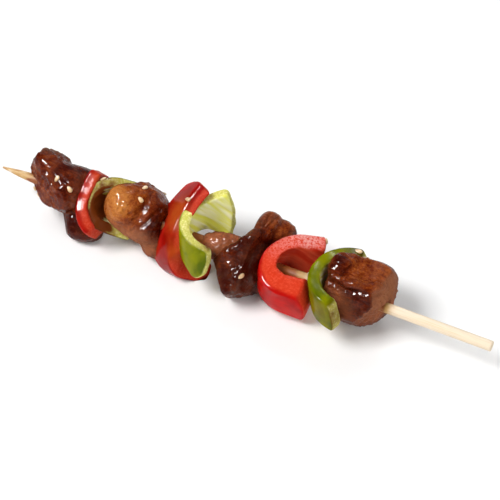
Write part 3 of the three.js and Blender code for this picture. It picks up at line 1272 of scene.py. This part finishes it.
@dataclass(frozen=True)
class ChickenPiece:
    """A piece of chicken: lobes joined round a heart, with folds, fibres and browned patches.

    Lumps, strands, ragged roughness and the dimple are in millimetres.
    """

    name: str
    heart: Point
    lobes: tuple[Lobe, ...]
    fibre: Point
    tints: tuple[Tint, ...]
    folds: tuple[Fold, ...] = ()
    tone: float = 0.35
    matte: float = 0.15
    seed: int = 1
    join_sharpness: float = 14.0
    lump: float = 0.30
    strand: float = 0.28
    ragged: float = 0.85
    dimple: float = 0.9
    dimple_radius: float = 3.3
    ray_reach: float = 1.25
    own_weight: float = 0.25
    tint_weight: float = 5.0
    tone_patches: float = 0.10
    matte_patches: float = 0.15

    def gauge(self, points: np.ndarray) -> np.ndarray:
        """Joins the lobes: below 1 inside any of them, by a power sum of their gauges."""
        total = sum(lobe.gauge(points) ** -self.join_sharpness for lobe in self.lobes)
        return total ** (-1 / self.join_sharpness)

    def shell(self, rows: int, around: int, step: float = 0.6, halvings: int = 7) -> np.ndarray:
        """Finds the surface along rays from the heart.

        Args:
            rows: rays from the pole towards the skewer's point to the other pole.
            around: rays round the skewer.
            step: how far each ray is followed at a time, in millimetres.
            halvings: how often the last step is halved.

        Returns:
            Points, (rows, around, 3), in the threading frame. Each ray comes in from outside in
            steps until the gauge drops below 1, and then halves the last step.
        """
        polar, turned = angle_grid(rows, around)
        rays = round_axis(-np.cos(polar), np.sin(polar), turned)
        heart = np.array(self.heart)
        reaches = [
            np.linalg.norm(np.array(lobe.at) - heart) + self.ray_reach * max(lobe.half)
            for lobe in self.lobes
        ]
        outer = np.full(polar.shape, max(reaches))
        searching = np.ones(polar.shape, bool)
        while searching.any():
            nearer = outer[searching] - step
            found = self.gauge(heart + rays[searching] * nearer[:, None]) < 1
            outer[searching] -= np.where(found, 0.0, step)
            searching[searching] = ~found & (outer[searching] > step)
        inner = outer - step
        for _ in range(halvings):
            middle = (inner + outer) / 2
            outside = self.gauge(heart + rays * middle[..., None]) > 1
            outer = np.where(outside, middle, outer)
            inner = np.where(outside, inner, middle)
        return heart + rays * inner[..., None]

    def relief(self, points: np.ndarray, normals: np.ndarray) -> np.ndarray:
        """Works out how far the surface stands proud of the plain lobes.

        Args:
            points: the shell.
            normals: its normals.

        Returns:
            Heights in millimetres: broad lumps, strands drawn out along the fibre, a ragged
            roughness in patches, a dimple e^-(d/radius)^4 where the skewer pierces the piece, and
            the folds.
        """
        strands = STRANDS.at(along_axes(points, self.fibre), self.seed)
        rough = smooth_step(-0.15, 0.4, RAG_PATCHES.at(points, self.seed))
        rags = RAGS.at(points, self.seed) * rough
        height = self.lump * BROAD_LUMPS.at(points, self.seed)
        height = height + self.strand * strands + self.ragged * rags
        ring = np.hypot(points[..., 1], points[..., 2])
        height = height - self.dimple * np.exp(-((ring / self.dimple_radius) ** 4))
        wander = FOLD_STRAYING.at(points, self.seed)
        for fold in self.folds:
            height = height + fold.relief(points, normals, wander)
        return height

    def cooking(self, points: np.ndarray, normals: np.ndarray) -> tuple[np.ndarray, np.ndarray]:
        """Works out how browned and how matte each point is.

        Args:
            points: the shell.
            normals: its normals.

        Returns:
            Tone and matte: the tints' values and the piece's own, averaged by their nearness, with
            patches of noise.
        """
        weight = np.full(points.shape[:-1], self.own_weight)
        tone = weight * self.tone
        matte = weight * self.matte
        for tint in self.tints:
            near = self.tint_weight * nearness(points, normals, tint)
            weight = weight + near
            tone = tone + near * tint.tone
            matte = matte + near * tint.matte
        patch = BROWNING.at(points, self.seed)
        tone = tone / weight + self.tone_patches * patch
        return tone, np.clip(matte / weight + self.matte_patches * patch, 0, 1)

    def build(self, threading: Threading, rows: int = 190, around: int = 270) -> Surface:
        """Builds the piece.

        Args:
            threading: places the piece.
            rows: rays from pole to pole.
            around: rays round the skewer.

        Returns:
            The piece: the shell, raised by its relief, with its poles on the skewer.
        """
        shell = self.shell(rows, around)
        normals = grid_normals(shell)
        tone, matte = self.cooking(shell, normals)
        points = threading.rest(shell + normals * self.relief(shell, normals)[..., None])
        obj = closed_object(self.name, threading.place(points), {"tone": tone, "matte": matte})
        return Surface(obj, points, grid_normals(points))


# ----------------------------------------------------------------------------- skewer and seeds


WOOD_GRAIN = Grain((40.0, 0.9, 0.9), 70, 2)
SCORCH_AND_SHADE_EDGES = Grain((3.0, 2.0, 2.0), 71, 3)


@dataclass(frozen=True)
class ScorchAndShade:
    """How much a stretch of stick darkens, by scorch, sauce or painted shade, and how unevenly."""

    share: float
    unevenness: float

    def at(self, uneven: np.ndarray) -> np.ndarray:
        """Returns the share at each point, by the noise there."""
        return self.share + self.unevenness * uneven


@dataclass(frozen=True)
class BambooSkewer:
    """The bamboo stick, pointed at one end and cut square at the other.

    The food sits between two places along it and leaves it bare in one gap, darkened there by
    sauce from the pieces before it and by painted shade. Each reach is in millimetres.
    """

    length: float = 200.0
    radius: float = 1.9
    point_length: float = 15.0
    point_radius: float = 0.35
    point_swell: float = 0.7
    chamfer: float = 0.3
    end_rings: int = 5
    grain: float = 0.05
    grain_radius: float = 3.0
    smooth_tip: float = 10.0
    food_start: float = -85.5
    food_end: float = 60.0
    gap_middle: float = 23.5
    last_piece: float = 35.0
    tip_reach: float = 8.0
    entry_reach: float = 2.5
    beyond_reach: float = 2.2
    tip: ScorchAndShade = ScorchAndShade(0.42, 0.5)
    beyond: ScorchAndShade = ScorchAndShade(0.75, 0.5)
    # The gap's darkening is sauce and painted shade, where the bare stick leaves the third red
    # piece's curl.
    gap: ScorchAndShade = ScorchAndShade(0.85, 0.4)
    gap_stain_and_shade: float = 0.26

    def profile(self, x: np.ndarray) -> np.ndarray:
        """Gives the stick's radius at each place along it.

        Args:
            x: the places.

        Returns:
            The radii, by straight lines between the tip, the middle and foot of the point, the
            chamfer and the blunt end.
        """
        half = self.length / 2
        point = self.point_length
        stations = [-half, -half + point / 2, -half + point, half - self.chamfer, half]
        blunt = self.radius - self.chamfer
        swell = self.point_swell * self.radius
        radii = [self.point_radius, swell, self.radius, self.radius, blunt]
        return np.interp(x, stations, radii)

    def scorch(self, x: np.ndarray, turn: np.ndarray) -> np.ndarray:
        """Works out how dark each point is: scorch, sauce and, in the gap, painted shade.

        Args:
            x: places along the stick.
            turn: angles round it.

        Returns:
            Shares from 0 to 1: at the tip, beside the food at both ends, in the gap as sauce and
            painted shade, and, in full, inside the food.
        """
        uneven = SCORCH_AND_SHADE_EDGES.at(round_axis(x, self.grain_radius, turn))
        start, gap = self.food_start, self.gap_middle
        tip = smooth_step(start + self.tip_reach, start, x) * self.tip.at(uneven)
        entry = np.exp(-(((x - start) / self.entry_reach) ** 2)) * 0.5
        past = np.exp(-(np.maximum(x - self.food_end, 0.0) / self.beyond_reach))
        past = past * (x > self.last_piece) * self.beyond.at(uneven)
        # Sauce and painted shade on the bare stick in the gap.
        gap_sauce_and_shade = smooth_step(gap + 7.0, gap - 1.0, x) * self.gap.at(uneven)
        gap_sauce_and_shade = gap_sauce_and_shade + self.gap_stain_and_shade * smooth_step(gap + 9.0, gap + 7.0, x)
        within = smooth_step(start, start + 4.0, x) * (x < gap - 5.0)
        return np.clip(tip + entry + past + gap_sauce_and_shade * (x > 0) + within, 0, 1)

    def build(self, threading: Threading, rows: int = 420, around: int = 40) -> Surface:
        """Builds the stick.

        Args:
            threading: places it.
            rows: rings along it.
            around: points round each ring.

        Returns:
            The stick: its profile turned round X, with fine grain drawn out along it, and each end
            closed by rings that shrink to a pole.
        """
        half, rings = self.length / 2, self.end_rings
        stick = np.linspace(-half, half - self.chamfer, rows)
        along = np.concatenate([np.full(rings, -half), stick, np.full(rings + 1, half)])
        closing = np.linspace(0, 1, rings, endpoint=False)
        shrink = np.concatenate([closing, np.ones(rows + 1), closing[::-1]])
        turn = np.linspace(0, 2 * math.pi, around, endpoint=False)
        x, turn = np.meshgrid(along, turn, indexing="ij")
        grain = WOOD_GRAIN.at(round_axis(x, self.grain_radius, turn))
        grain = self.grain * grain * smooth_step(-half, -half + self.smooth_tip, x)
        radius = self.profile(x) + grain
        points = round_axis(x, radius * shrink[:, None], turn)
        scorch = {"scorch": self.scorch(x, turn)}
        obj = closed_object("bamboo_skewer", threading.place(points), scorch)
        return Surface(obj, points, grid_normals(points))


@dataclass(frozen=True)
class SesameSeeds:
    """Toasted sesame seeds stuck in the glaze, in one joined mesh.

    Each seed's middle stands above the surface by a share of its height. The scattered ones lie
    where the surface turns away from the display side, and keep off their piece's ends by a share
    of its rows.
    """

    length: float = 2.8
    width: float = 1.7
    height: float = 0.9
    stand: float = 0.22
    blunt: float = 0.28
    rings: int = 9
    sides: int = 14
    seed: int = 40
    turned_away: float = -0.1
    ends: float = 0.2
    smallest: float = 0.88
    largest: float = 1.1
    lowest: float = 0.03

    def drop(self) -> np.ndarray:
        """Makes one seed, blunt at one end and pointed at the other.

        Returns:
            Its grid, (rings, sides, 3): a ring at angle t from the pole has a half width
            proportional to sin t (1 + blunt cos t), which is broadest past the middle.
        """
        polar, turned = angle_grid(self.rings, self.sides)
        wide = np.sin(polar) * (1 + self.blunt * np.cos(polar))
        size = np.array([self.length, self.width, self.height])
        return round_axis(np.cos(polar), wide, turned) * size / 2

    def places(
        self,
        chance: np.random.Generator,
        stuck: Sequence[tuple[Surface, Spot, float]],
        scattered: Sequence[Surface],
        each: int,
    ) -> list[tuple[np.ndarray, np.ndarray, float]]:
        """Finds where the seeds stick.

        Args:
            chance: the random numbers.
            stuck: seeds on the display side: what they stick to, where, and their turn in degrees.
            scattered: the pieces that get more seeds round the rest of them.
            each: how many more seeds on each.

        Returns:
            Each seed's point, its normal and its turn in radians.
        """
        places = [(*surface.find(spot), math.radians(turn)) for surface, spot, turn in stuck]
        for surface in scattered:
            rows = len(surface.points)
            facing = surface.normals @ unit(np.array(FACING))
            hidden = np.argwhere(facing < self.turned_away)
            inner = (hidden[:, 0] > rows * self.ends) & (hidden[:, 0] < rows * (1 - self.ends))
            hidden = hidden[inner]
            for row, column in hidden[chance.integers(0, len(hidden), each)]:
                point, normal = surface.points[row, column], surface.normals[row, column]
                places.append((point, normal, chance.uniform(0, math.pi)))
        return places

    def build(
        self,
        threading: Threading,
        stuck: Sequence[tuple[Surface, Spot, float]],
        scattered: Sequence[Surface],
        each: int = 5,
    ) -> bpy.types.Object:
        """Builds the seeds.

        Args:
            threading: places them.
            stuck: seeds on the display side: what they stick to, where, and their turn in degrees.
            scattered: the pieces that get more seeds round the rest of them.
            each: how many more seeds on each.

        Returns:
            The seeds: copies of one grid, each turned into the surface's tangent plane and sunk a
            little into it, all in one mesh.
        """
        chance = np.random.default_rng(self.seed)
        places = self.places(chance, stuck, scattered, each)
        centre, normal, turn = (np.array(values) for values in zip(*places))
        turn = turn[:, None]
        size = chance.uniform(self.smallest, self.largest, (len(places), 1, 1))
        flat = unit(np.array([1.0, 0.0, 0.0]) - normal * normal[:, :1])
        long = flat * np.cos(turn) + np.cross(normal, flat) * np.sin(turn)
        basis = np.stack([long, np.cross(normal, long), normal], axis=1)
        drop = pole_list(self.drop())
        middle = centre + normal * self.height * self.stand
        seeds = threading.rest((drop[None] * size) @ basis + middle[:, None], self.lowest)
        quads, fans = pole_faces(self.rings, self.sides)
        faces: list[list[int]] = []
        for first in np.arange(len(places)) * len(drop):
            faces += (quads + first).tolist() + (fans + first).tolist()
        mesh = smooth_mesh("sesame_seeds", threading.place(seeds.reshape(-1, 3)), faces)
        return put_in_scene("sesame_seeds", mesh)


# ----------------------------------------------------------------------------- studio


@dataclass(frozen=True)
class Lamp:
    """A soft square light: its place from the target in metres, its side in metres, and its power.

    A glint lamp shows only in glossy surfaces, and any other only lights what it falls on.
    """

    name: str
    at: Point
    side: float
    power: float
    glint: bool = False

    def build(self, target: Vector) -> None:
        """Hangs the light, turned towards the target.

        Args:
            target: the point it lights.
        """
        data = bpy.data.lights.new(self.name, "AREA")
        data.shape = "SQUARE"
        data.size = self.side
        data.energy = self.power
        obj = put_in_scene(self.name, data)
        obj.visible_glossy = self.glint
        obj.visible_diffuse = not self.glint
        obj.location = target + Vector(self.at)
        obj.rotation_euler = (target - obj.location).to_track_quat("-Z", "Y").to_euler()


@dataclass(frozen=True)
class Studio:
    """A pale floor, soft lights and the camera.

    The camera stands at an azimuth and elevation in degrees and at a distance in metres from its
    aim, which lies off the skewer's middle.
    """

    floor_colour: Colour = (0.93, 0.93, 0.93)
    floor_size: float = 6.0
    surround: float = 0.13
    azimuth: float = 26.1346
    elevation: float = 48.0
    distance: float = 0.50993
    aim_off: Point = (0.0050733, 0.0034032, 0.0)
    lens: float = 100.0
    sensor: float = 36.0
    lamps: tuple[Lamp, ...] = (
        Lamp("key_front_left", (-0.45, -0.40, 0.82), 0.50, 10.2),
        Lamp("top_behind", (-0.15, 0.80, 0.75), 0.60, 3.6),
        Lamp("fill_right", (0.80, -0.45, 0.55), 0.60, 4.4),
        Lamp("glint_left", (-0.57, -0.37, 0.76), 0.22, 26.0, glint=True),
        Lamp("glint_behind", (-0.15, 0.80, 0.75), 0.20, 12.0, glint=True),
        Lamp("glint_right", (0.80, -0.45, 0.55), 0.16, 5.0, glint=True),
    )

    def build(self, middle: Vector) -> None:
        """Sets out the floor, the lights and the camera.

        Args:
            middle: the skewer's middle.
        """
        self.floor()
        self.world()
        for lamp in self.lamps:
            lamp.build(middle)
        self.camera(middle + Vector(self.aim_off))
        bpy.context.scene.view_settings.view_transform = "Standard"

    def floor(self) -> None:
        """Lays the floor at the height the kebab rests on."""
        half = self.floor_size / 2
        mesh = bpy.data.meshes.new("floor")
        corners = [(-half, -half, 0), (half, -half, 0), (half, half, 0), (-half, half, 0)]
        mesh.from_pydata(corners, [], [(0, 1, 2, 3)])
        obj = put_in_scene("floor", mesh)
        graph = Graph("pale_floor")
        mottle = graph.noise(graph.place(), size=60.0)
        shaded = tuple(part * 0.99 for part in self.floor_colour)
        colour = graph.mix(mottle, self.floor_colour, shaded)
        material = graph.finish(Base_Color=colour, Roughness=0.7, Specular_IOR_Level=0.3)
        mesh.materials.append(material)

    def world(self) -> None:
        """Lights the surroundings an even white."""
        world = bpy.data.worlds.new("surround")
        bpy.context.scene.world = world
        world.use_nodes = True
        background = world.node_tree.nodes["Background"]
        background.inputs["Color"].default_value = (1.0, 1.0, 1.0, 1.0)
        background.inputs["Strength"].default_value = self.surround

    def camera(self, aim: Vector) -> None:
        """Sets up the camera.

        Args:
            aim: the point it looks at.
        """
        azimuth, elevation = math.radians(self.azimuth), math.radians(self.elevation)
        level = math.cos(elevation)
        back = Vector(
            (math.sin(azimuth) * level, -math.cos(azimuth) * level, math.sin(elevation))
        )
        data = bpy.data.cameras.new("camera")
        data.lens = self.lens
        data.sensor_width = self.sensor
        turn = back.to_track_quat("Z", "Y").to_matrix().to_4x4()
        obj = put_in_scene("camera", data)
        obj.matrix_world = Matrix.Translation(aim + back * self.distance) @ turn
        bpy.context.scene.camera = obj


# ----------------------------------------------------------------------------- the kebab


CHICKEN = (
    ChickenPiece(
        "glazed_chicken_1",
        heart=(-74, 1, -1),
        lobes=(
            Lobe(
                (-74.5, 1, 0),
                (13.6, 9, 10.5),
                tilt=-4,
                square=3.2,
                facets=(
                    Facet((-83, -4.4, 0), (-0.6, -0.78, 0.1)),
                    Facet((-85.5, 0, 1.6), (-0.42, -0.42, 0.8)),
                    Facet((-74, 8, 8), (0.1, 0.55, 0.83)),
                ),
            ),
            Lobe(
                (-81.5, 6, -1),
                (6.8, 6.6, 8),
                tilt=-8,
                square=3,
                facets=(
                    Facet((-86.4, 6, 0), (-0.97, 0.1, 0.2)),
                    Facet((-85.5, 0, 1.8), (-0.42, -0.42, 0.8)),
                ),
            ),
            Lobe((-61.5, -9, -5), (6.8, 7.6, 7.2), tilt=12, square=3),
            Lobe((-66, 3.2, -2), (10, 7.6, 8.6), square=2.6),
        ),
        fibre=(0.9, -0.4, 0.1),
        tints=(
            Tint(Spot(-72, 7), 7.0, 0.20),
            Tint(Spot(-64, 6), 6.0, 0.20),
            Tint(Spot(-81, 9), 4.5, 0.40),
            Tint(Spot(-84.8, 13.2), 3.0, 0.16, 0.4),
            Tint(Spot(-80, -3), 8.0, 0.34, 0.0),
            Tint(Spot(-86, 1), 5.0, 0.41, 0.10),
            Tint(Spot(-70, -9), 7.0, 0.37, 0.10),
            Tint(Spot(-62, -13), 6.0, 0.12),
        ),
        folds=(
            Fold(Spot(-79, 2), -37, 24, 1.8, 1.0),
            Fold(Spot(-82, 12), 20, 10, 0.9, -0.9),
            Fold(Spot(-66, -6), -75, 12, 1.2, -0.7),
        ),
        tone=0.22,
        seed=11,
    ),
    ChickenPiece(
        "glazed_chicken_2",
        heart=(-42, 1, -2),
        lobes=(
            Lobe((-44.8, 2.2, 2), (8, 8.4, 9.5), square=2.2),
            Lobe((-41.5, 2.3, -4), (8.8, 10.6, 12), tilt=-12, square=2.4),
            Lobe((-35.8, 0, -3), (7.4, 9.2, 9.6), square=2.6),
            Lobe((-31.5, -6.5, -6), (5.5, 6.4, 6), square=2.4),
        ),
        fibre=(0.3, 0.9, 0.2),
        tints=(
            Tint(Spot(-47.5, 4), 6.0, 0.98, 0.15),
            Tint(Spot(-50, -1), 5.0, 0.76, 0.1),
            Tint(Spot(-44, 11), 4.5, 0.48),
            Tint(Spot(-43, 6.5), 3.5, 0.42),
            Tint(Spot(-38.5, 3), 4.0, 0.40),
            Tint(Spot(-43, -4), 3.5, 0.50),
            Tint(Spot(-41, -8), 6.0, 0.55, 0.95),
            Tint(Spot(-34, -8), 5.0, 0.34, 0.6),
            Tint(Spot(-33.5, 5), 4.5, 0.28),
            Tint(Spot(-31, -3), 4.0, 0.15),
        ),
        folds=(Fold(Spot(-38.5, 5), 78, 18, 1.1, -1.0), Fold(Spot(-34, 2), 60, 16, 0.9, -0.7)),
        tone=0.40,
        seed=12,
    ),
    ChickenPiece(
        "glazed_chicken_3",
        heart=(6, 0, -1),
        lobes=(
            Lobe(
                (3.8, -2.5, 0),
                (9.6, 14.5, 10),
                tilt=-10,
                square=3.2,
                facets=(
                    Facet((10.8, 0, 0), (0.97, 0, 0.24)),
                    Facet((1, 2.5, 3), (-0.76, 0.62, 0.12)),
                    Facet((10, -13, 0), (0.5, -0.86, 0)),
                    Facet((-0.3, -12, 0), (-0.8, -0.58, 0.1)),
                    Facet((4, -4, 9), (-0.25, -0.1, 0.95)),
                ),
            ),
            Lobe((-4, 0.4, -1.8), (10, 5.2, 6), tilt=10, square=3),
            Lobe((11, -6.5, -7), (7.5, 5, 6), square=2.6),
            Lobe((8.5, -1, -1), (5, 8.5, 7.5), square=2.4),
            Lobe((8.8, 12, -1), (4.2, 6.8, 5.6), tilt=-8, square=2.4),
            Lobe((12.5, 11.5, -6), (5.8, 6, 6), square=2.4),
        ),
        fibre=(0.5, 0.85, 0.0),
        tints=(
            Tint(Spot(3, -3), 7.0, 0.0),
            Tint(Spot(5, 3), 5.0, 0.20),
            Tint(Spot(9, -4), 6.0, 0.04),
            Tint(Spot(1, -9), 5.0, 0.10, 0.1),
            Tint(Spot(8, -10), 5.0, 0.04, 0.2),
            Tint(Spot(-7, 3.0), 4.0, 0.58, 0.60),
            Tint(Spot(-3, 3.5), 3.0, 0.52, 0.45),
            Tint(Spot(9.5, 18), 3.5, 0.50, 0.3),
            Tint(Spot(15, 15), 4.5, 0.50, 0.05),
            Tint(Spot(-1, -3), 3.0, 0.55),
        ),
        folds=(
            Fold(Spot(1.5, 3.0), 52, 24, 1.5, 1.2),
            Fold(Spot(8.0, 15), 80, 9, 0.7, -1.0),
            Fold(Spot(10.5, 15), 60, 10, 0.8, -1.1),
            Fold(Spot(7.0, 12), 20, 7, 0.7, -0.8),
        ),
        tone=0.25,
        seed=13,
    ),
    ChickenPiece(
        "glazed_chicken_4",
        heart=(49, 2, -1),
        lobes=(
            Lobe(
                (49.5, 2.4, -1),
                (11.9, 11.9, 12.6),
                tilt=6,
                square=3.6,
                facets=(
                    Facet((50, 7, 8), (0.02, 0.6, 0.8)),
                    Facet((51, 0, 9.4), (-0.1, -0.42, 0.9)),
                    Facet((60, 4, 3), (0.88, 0.1, 0.46)),
                    Facet((55.6, -5.6, 0), (0.78, -0.62, 0.1)),
                ),
            ),
            Lobe((42, 8.5, 1), (5.2, 5, 8), square=2.5),
            Lobe((48.5, -0.5, -5), (9.6, 9, 10.4), square=2.3),
        ),
        fibre=(0.95, -0.25, 0.1),
        tints=(
            Tint(Spot(51, 9), 8.0, 0.52, 0.0),
            Tint(Spot(45, 7), 4.0, 0.48, 0.0),
            Tint(Spot(39, 9), 3.5, 0.12),
            Tint(Spot(50, 0), 6.0, 0.12),
            # Painted reflection: this lighter, matte patch low on the front stands in for a
            # greyish sheen.
            Tint(Spot(45, -5), 4.0, 0.40, 0.55),
            Tint(Spot(49, -6), 4.0, 0.20, 0.1),
            Tint(Spot(59, 4), 6.0, 0.50, 0.95),
            Tint(Spot(52, -10), 5.0, 0.20, 0.3),
            Tint(Spot(57, -5), 4.0, 0.42, 0.6),
        ),
        folds=(
            Fold(Spot(42, 4.0), 2, 14, 1.5, 0.9),
            Fold(Spot(50, 4.6), 14, 20, 1.3, 1.2),
            Fold(Spot(49, 2.2), 12, 20, 1.0, -0.7),
            Fold(Spot(42, 7.5), 60, 8, 0.7, -0.7),
        ),
        tone=0.30,
        strand=0.42,
        seed=14,
    ),
)

PEPPERS = (
    PepperPiece(
        "red_pepper_cut_1",
        DEEP_RED_PEPPER,
        station=-60.8,
        turn=2,
        thickness=5,
        upper=Bend(60, 15),
        lower=Bend(12.5, 85),
        lower_foot=(-15, -5),
        upper_foot=(11, -8),
        upper_rim=(11, 8),
        lower_rim=(-15, 8),
        rim_skin=0.45,
        sauce_and_shade=(
            Tint(Spot(-60, 8), 6.0, 0.4),
            Tint(Spot(-60, -6), 8.0, 0.12),
            Tint(Spot(-53, -12), 4.0, 0.3),
        ),
        seed=21,
    ),
    PepperPiece(
        "green_pepper_cut_1",
        GREEN_PEPPER,
        station=-54.8,
        turn=0,
        thickness=4.2,
        lean=-0.6,
        upper=Bend(9.5, 78),
        lower=Bend(8, 90),
        lower_foot=(-14.5, -7),
        upper_foot=(18, -8),
        upper_rim=(16, 7),
        lower_rim=(-12.5, 7),
        rim_skin=0.1,
        # Sauce and painted shade: dark brown over the hollow side, heaviest low down, stands in
        # for shade there as well as sauce.
        sauce_and_shade=(
            Tint(Spot(-60, -4), 7.0, 0.95),
            Tint(Spot(-57, 2), 5.0, 0.9),
            Tint(Spot(-55, -2), 5.0, 1.0),
            Tint(Spot(-52, -10), 8.0, 0.8),
            Tint(Spot(-54.5, -5.4), 3.5, 0.95),
            Tint(Spot(-56.5, -7.5), 3.0, 0.90),
            Tint(Spot(-57, 6.5), 4.5, 0.55),
            Tint(Spot(-53, 9), 5.0, 0.45),
            Tint(Spot(-52, -8), 5.0, 0.60),
            Tint(Spot(-49, -9.5), 4.0, 0.60),
        ),
        seed=22,
    ),
    PepperPiece(
        "red_pepper_cut_2",
        DEEP_RED_PEPPER,
        station=-27.3,
        turn=5,
        thickness=5.8,
        swell=0.06,
        rim_skin=0.45,
        upper=Bend(45, 35),
        lower=Bend(13, 95),
        cup=0.012,
        lean=1.0,
        lower_foot=(-41, -12),
        upper_foot=(19.5, -0.5),
        upper_rim=(19.5, 7),
        lower_rim=(-9, 6),
        end_sag=1.8,
        sauce_and_shade=(
            Tint(Spot(-26, 8), 5.0, 0.9),
            Tint(Spot(-25.5, 3), 4.5, 0.8),
            Tint(Spot(-21.5, -8), 4.0, 0.8),
            Tint(Spot(-30, -8), 3.5, 0.4),
        ),
        seed=23,
    ),
    PepperPiece(
        "green_pepper_cut_2",
        GREEN_PEPPER,
        station=-18.8,
        turn=60,
        thickness=4.2,
        upper=Bend(13, 85),
        lower=Bend(12, 85),
        lean=-0.12,
        twist=0.016,
        rim_sag=4.5,
        foot_rise=9.5,
        lower_foot=(-14.5, -12),
        upper_foot=(22, -6),
        upper_rim=(14.5, 20.5),
        lower_rim=(-25, 5),
        sauce_and_shade=(Tint(Spot(-9, 1.5), 3.0, 0.8), Tint(Spot(-13, 2.5), 2.0, 0.5)),
        seed=24,
    ),
    PepperPiece(
        "red_pepper_cut_3",
        RED_PEPPER,
        station=13.9,
        turn=27,
        thickness=6,
        swell=0.15,
        upper=Bend(12, 70, closing=0.7),
        lower=Bend(9.8, 92),
        lean=0.22,
        twist=0.012,
        rim_sag=-1,
        foot_rise=3,
        lower_foot=(-25, -11.5),
        upper_foot=(23, -10),
        upper_rim=(24, 6.5),
        lower_rim=(-25.5, 6.5),
        # Painted sheen: pale pink on the top of the band stands in for a soft reflection.
        pale=(
            Tint(Spot(22, 13.5), 5.0, 0.7),
            Tint(Spot(28, 15), 6.0, 0.8),
            Tint(Spot(14, 8), 5.0, 0.35),
        ),
        seed=25,
    ),
    PepperPiece(
        "green_pepper_cut_3",
        GREEN_PEPPER,
        station=34.2,
        turn=38,
        thickness=4.8,
        upper=Bend(13.5, 80),
        lower=Bend(12.5, 74),
        lean=-0.15,
        lower_foot=(-21, -5.5),
        upper_foot=(20, -6),
        upper_rim=(21.5, 8.5),
        lower_rim=(-19.5, 8.5),
        rim_skin=1.0,
        sauce_and_shade=(
            Tint(Spot(43, -10), 6.0, 0.75),
            Tint(Spot(36, -8), 9.0, 0.38),
            Tint(Spot(34, 4), 9.0, 0.38),
            Tint(Spot(45, 15), 5.0, 0.5),
        ),
        seed=26,
    ),
)

SEEDS = (
    ("chicken_1", Spot(-75.0, 3.0), 70.0),
    ("chicken_1", Spot(-68.9, 0.9), -35.0),
    ("chicken_1", Spot(-83.9, -3.7), 80.0),
    ("green_pepper_1", Spot(-58.9, 10.3), 0.0),
    ("chicken_2", Spot(-48.1, 10.7), 20.0),
    ("chicken_2", Spot(-41.0, 11.0), 70.0),
    ("chicken_2", Spot(-40.7, 6.3), -30.0),
    ("red_pepper_2", Spot(-23.3, 12.4), 0.0),
    ("chicken_3", Spot(5.7, -7.3), 40.0),
    ("red_pepper_3", Spot(32.6, 15.4), 60.0),
    ("green_pepper_3", Spot(44.4, 15.5), 0.0),
)


@dataclass
class Kebab:
    """The whole kebab: its pieces, and how they stand for the frame's nodes."""

    threading: Threading
    surfaces: dict[str, Surface] = field(default_factory=dict)

    def add(self, node: str, slot: Slot, surface: Surface, material: bpy.types.Material) -> None:
        """Dresses a piece, makes it ride with the food, and lets it stand for a node.

        Args:
            node: the frame's node that it replaces.
            slot: the material slot that it would fill; not used.
            surface: the piece.
            material: its finish.
        """
        surface.obj.data.materials.append(material)
        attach(surface.obj, "root")
        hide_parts(node)
        self.surfaces[node] = surface
        LOG.info("%s: %d faces", surface.obj.name, len(surface.obj.data.polygons))

    def build(self) -> None:
        """Builds the stick, the chicken, the peppers and the seeds."""
        stick = BambooSkewer().build(self.threading)
        self.add("skewer", Slot.BAMBOO, stick, Bamboo().material("bamboo"))
        self.add_chicken()
        self.add_peppers()
        self.add_seeds()

    def add_chicken(self) -> None:
        """Builds the chicken, each piece with its own finish, whose fibres follow its meat."""
        for number, piece in enumerate(CHICKEN, start=1):
            name = f"glazed_chicken_{number}_finish"
            material = GlazedChicken().material(name, self.fibre_turn(piece.fibre))
            surface = piece.build(self.threading)
            self.add(f"chicken_{number}", Slot.CHICKEN, surface, material)

    def add_peppers(self) -> None:
        """Builds the peppers, which share one material for each finish."""
        finishes: dict[str, bpy.types.Material] = {}
        for piece in PEPPERS:
            colour, number = piece.name.split("_pepper_cut_")
            finish = piece.finish
            if finish.name not in finishes:
                finishes[finish.name] = finish.material()
            surface = piece.build(self.threading)
            node = f"{colour}_pepper_{number}"
            self.add(node, Slot(f"{colour}_pepper"), surface, finishes[finish.name])

    def add_seeds(self) -> None:
        """Sticks the sesame seeds on."""
        stuck = [(self.surfaces[node], spot, turn) for node, spot, turn in SEEDS]
        scattered = [self.surfaces[f"chicken_{number}"] for number in range(1, len(CHICKEN) + 1)]
        seeds = SesameSeeds().build(self.threading, stuck, scattered)
        seeds.data.materials.append(Toasted().material("toasted_sesame"))
        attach(seeds, "root")
        LOG.info("%s: %d faces", seeds.name, len(seeds.data.polygons))

    def fibre_turn(self, fibre: Point) -> Point:
        """Returns the turn that lays a pattern's first axis along a fibre of the meat."""
        along = Vector(np.array(fibre) @ self.threading.axes())
        return tuple(along.to_track_quat("X", "Z").inverted().to_euler())


def corners(bounds: tuple[Vector, Vector]) -> list[list[float]]:
    """Returns a box's two corners as plain lists."""
    return [list(map(float, corner)) for corner in bounds]


def main() -> None:
    """Builds the kebab in its studio."""
    logging.basicConfig(level=logging.INFO, format="%(message)s")
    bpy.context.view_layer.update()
    threading = Threading.from_frame()
    Kebab(threading).build()
    Studio().build(threading.origin)


if __name__ == "__main__":
    main()
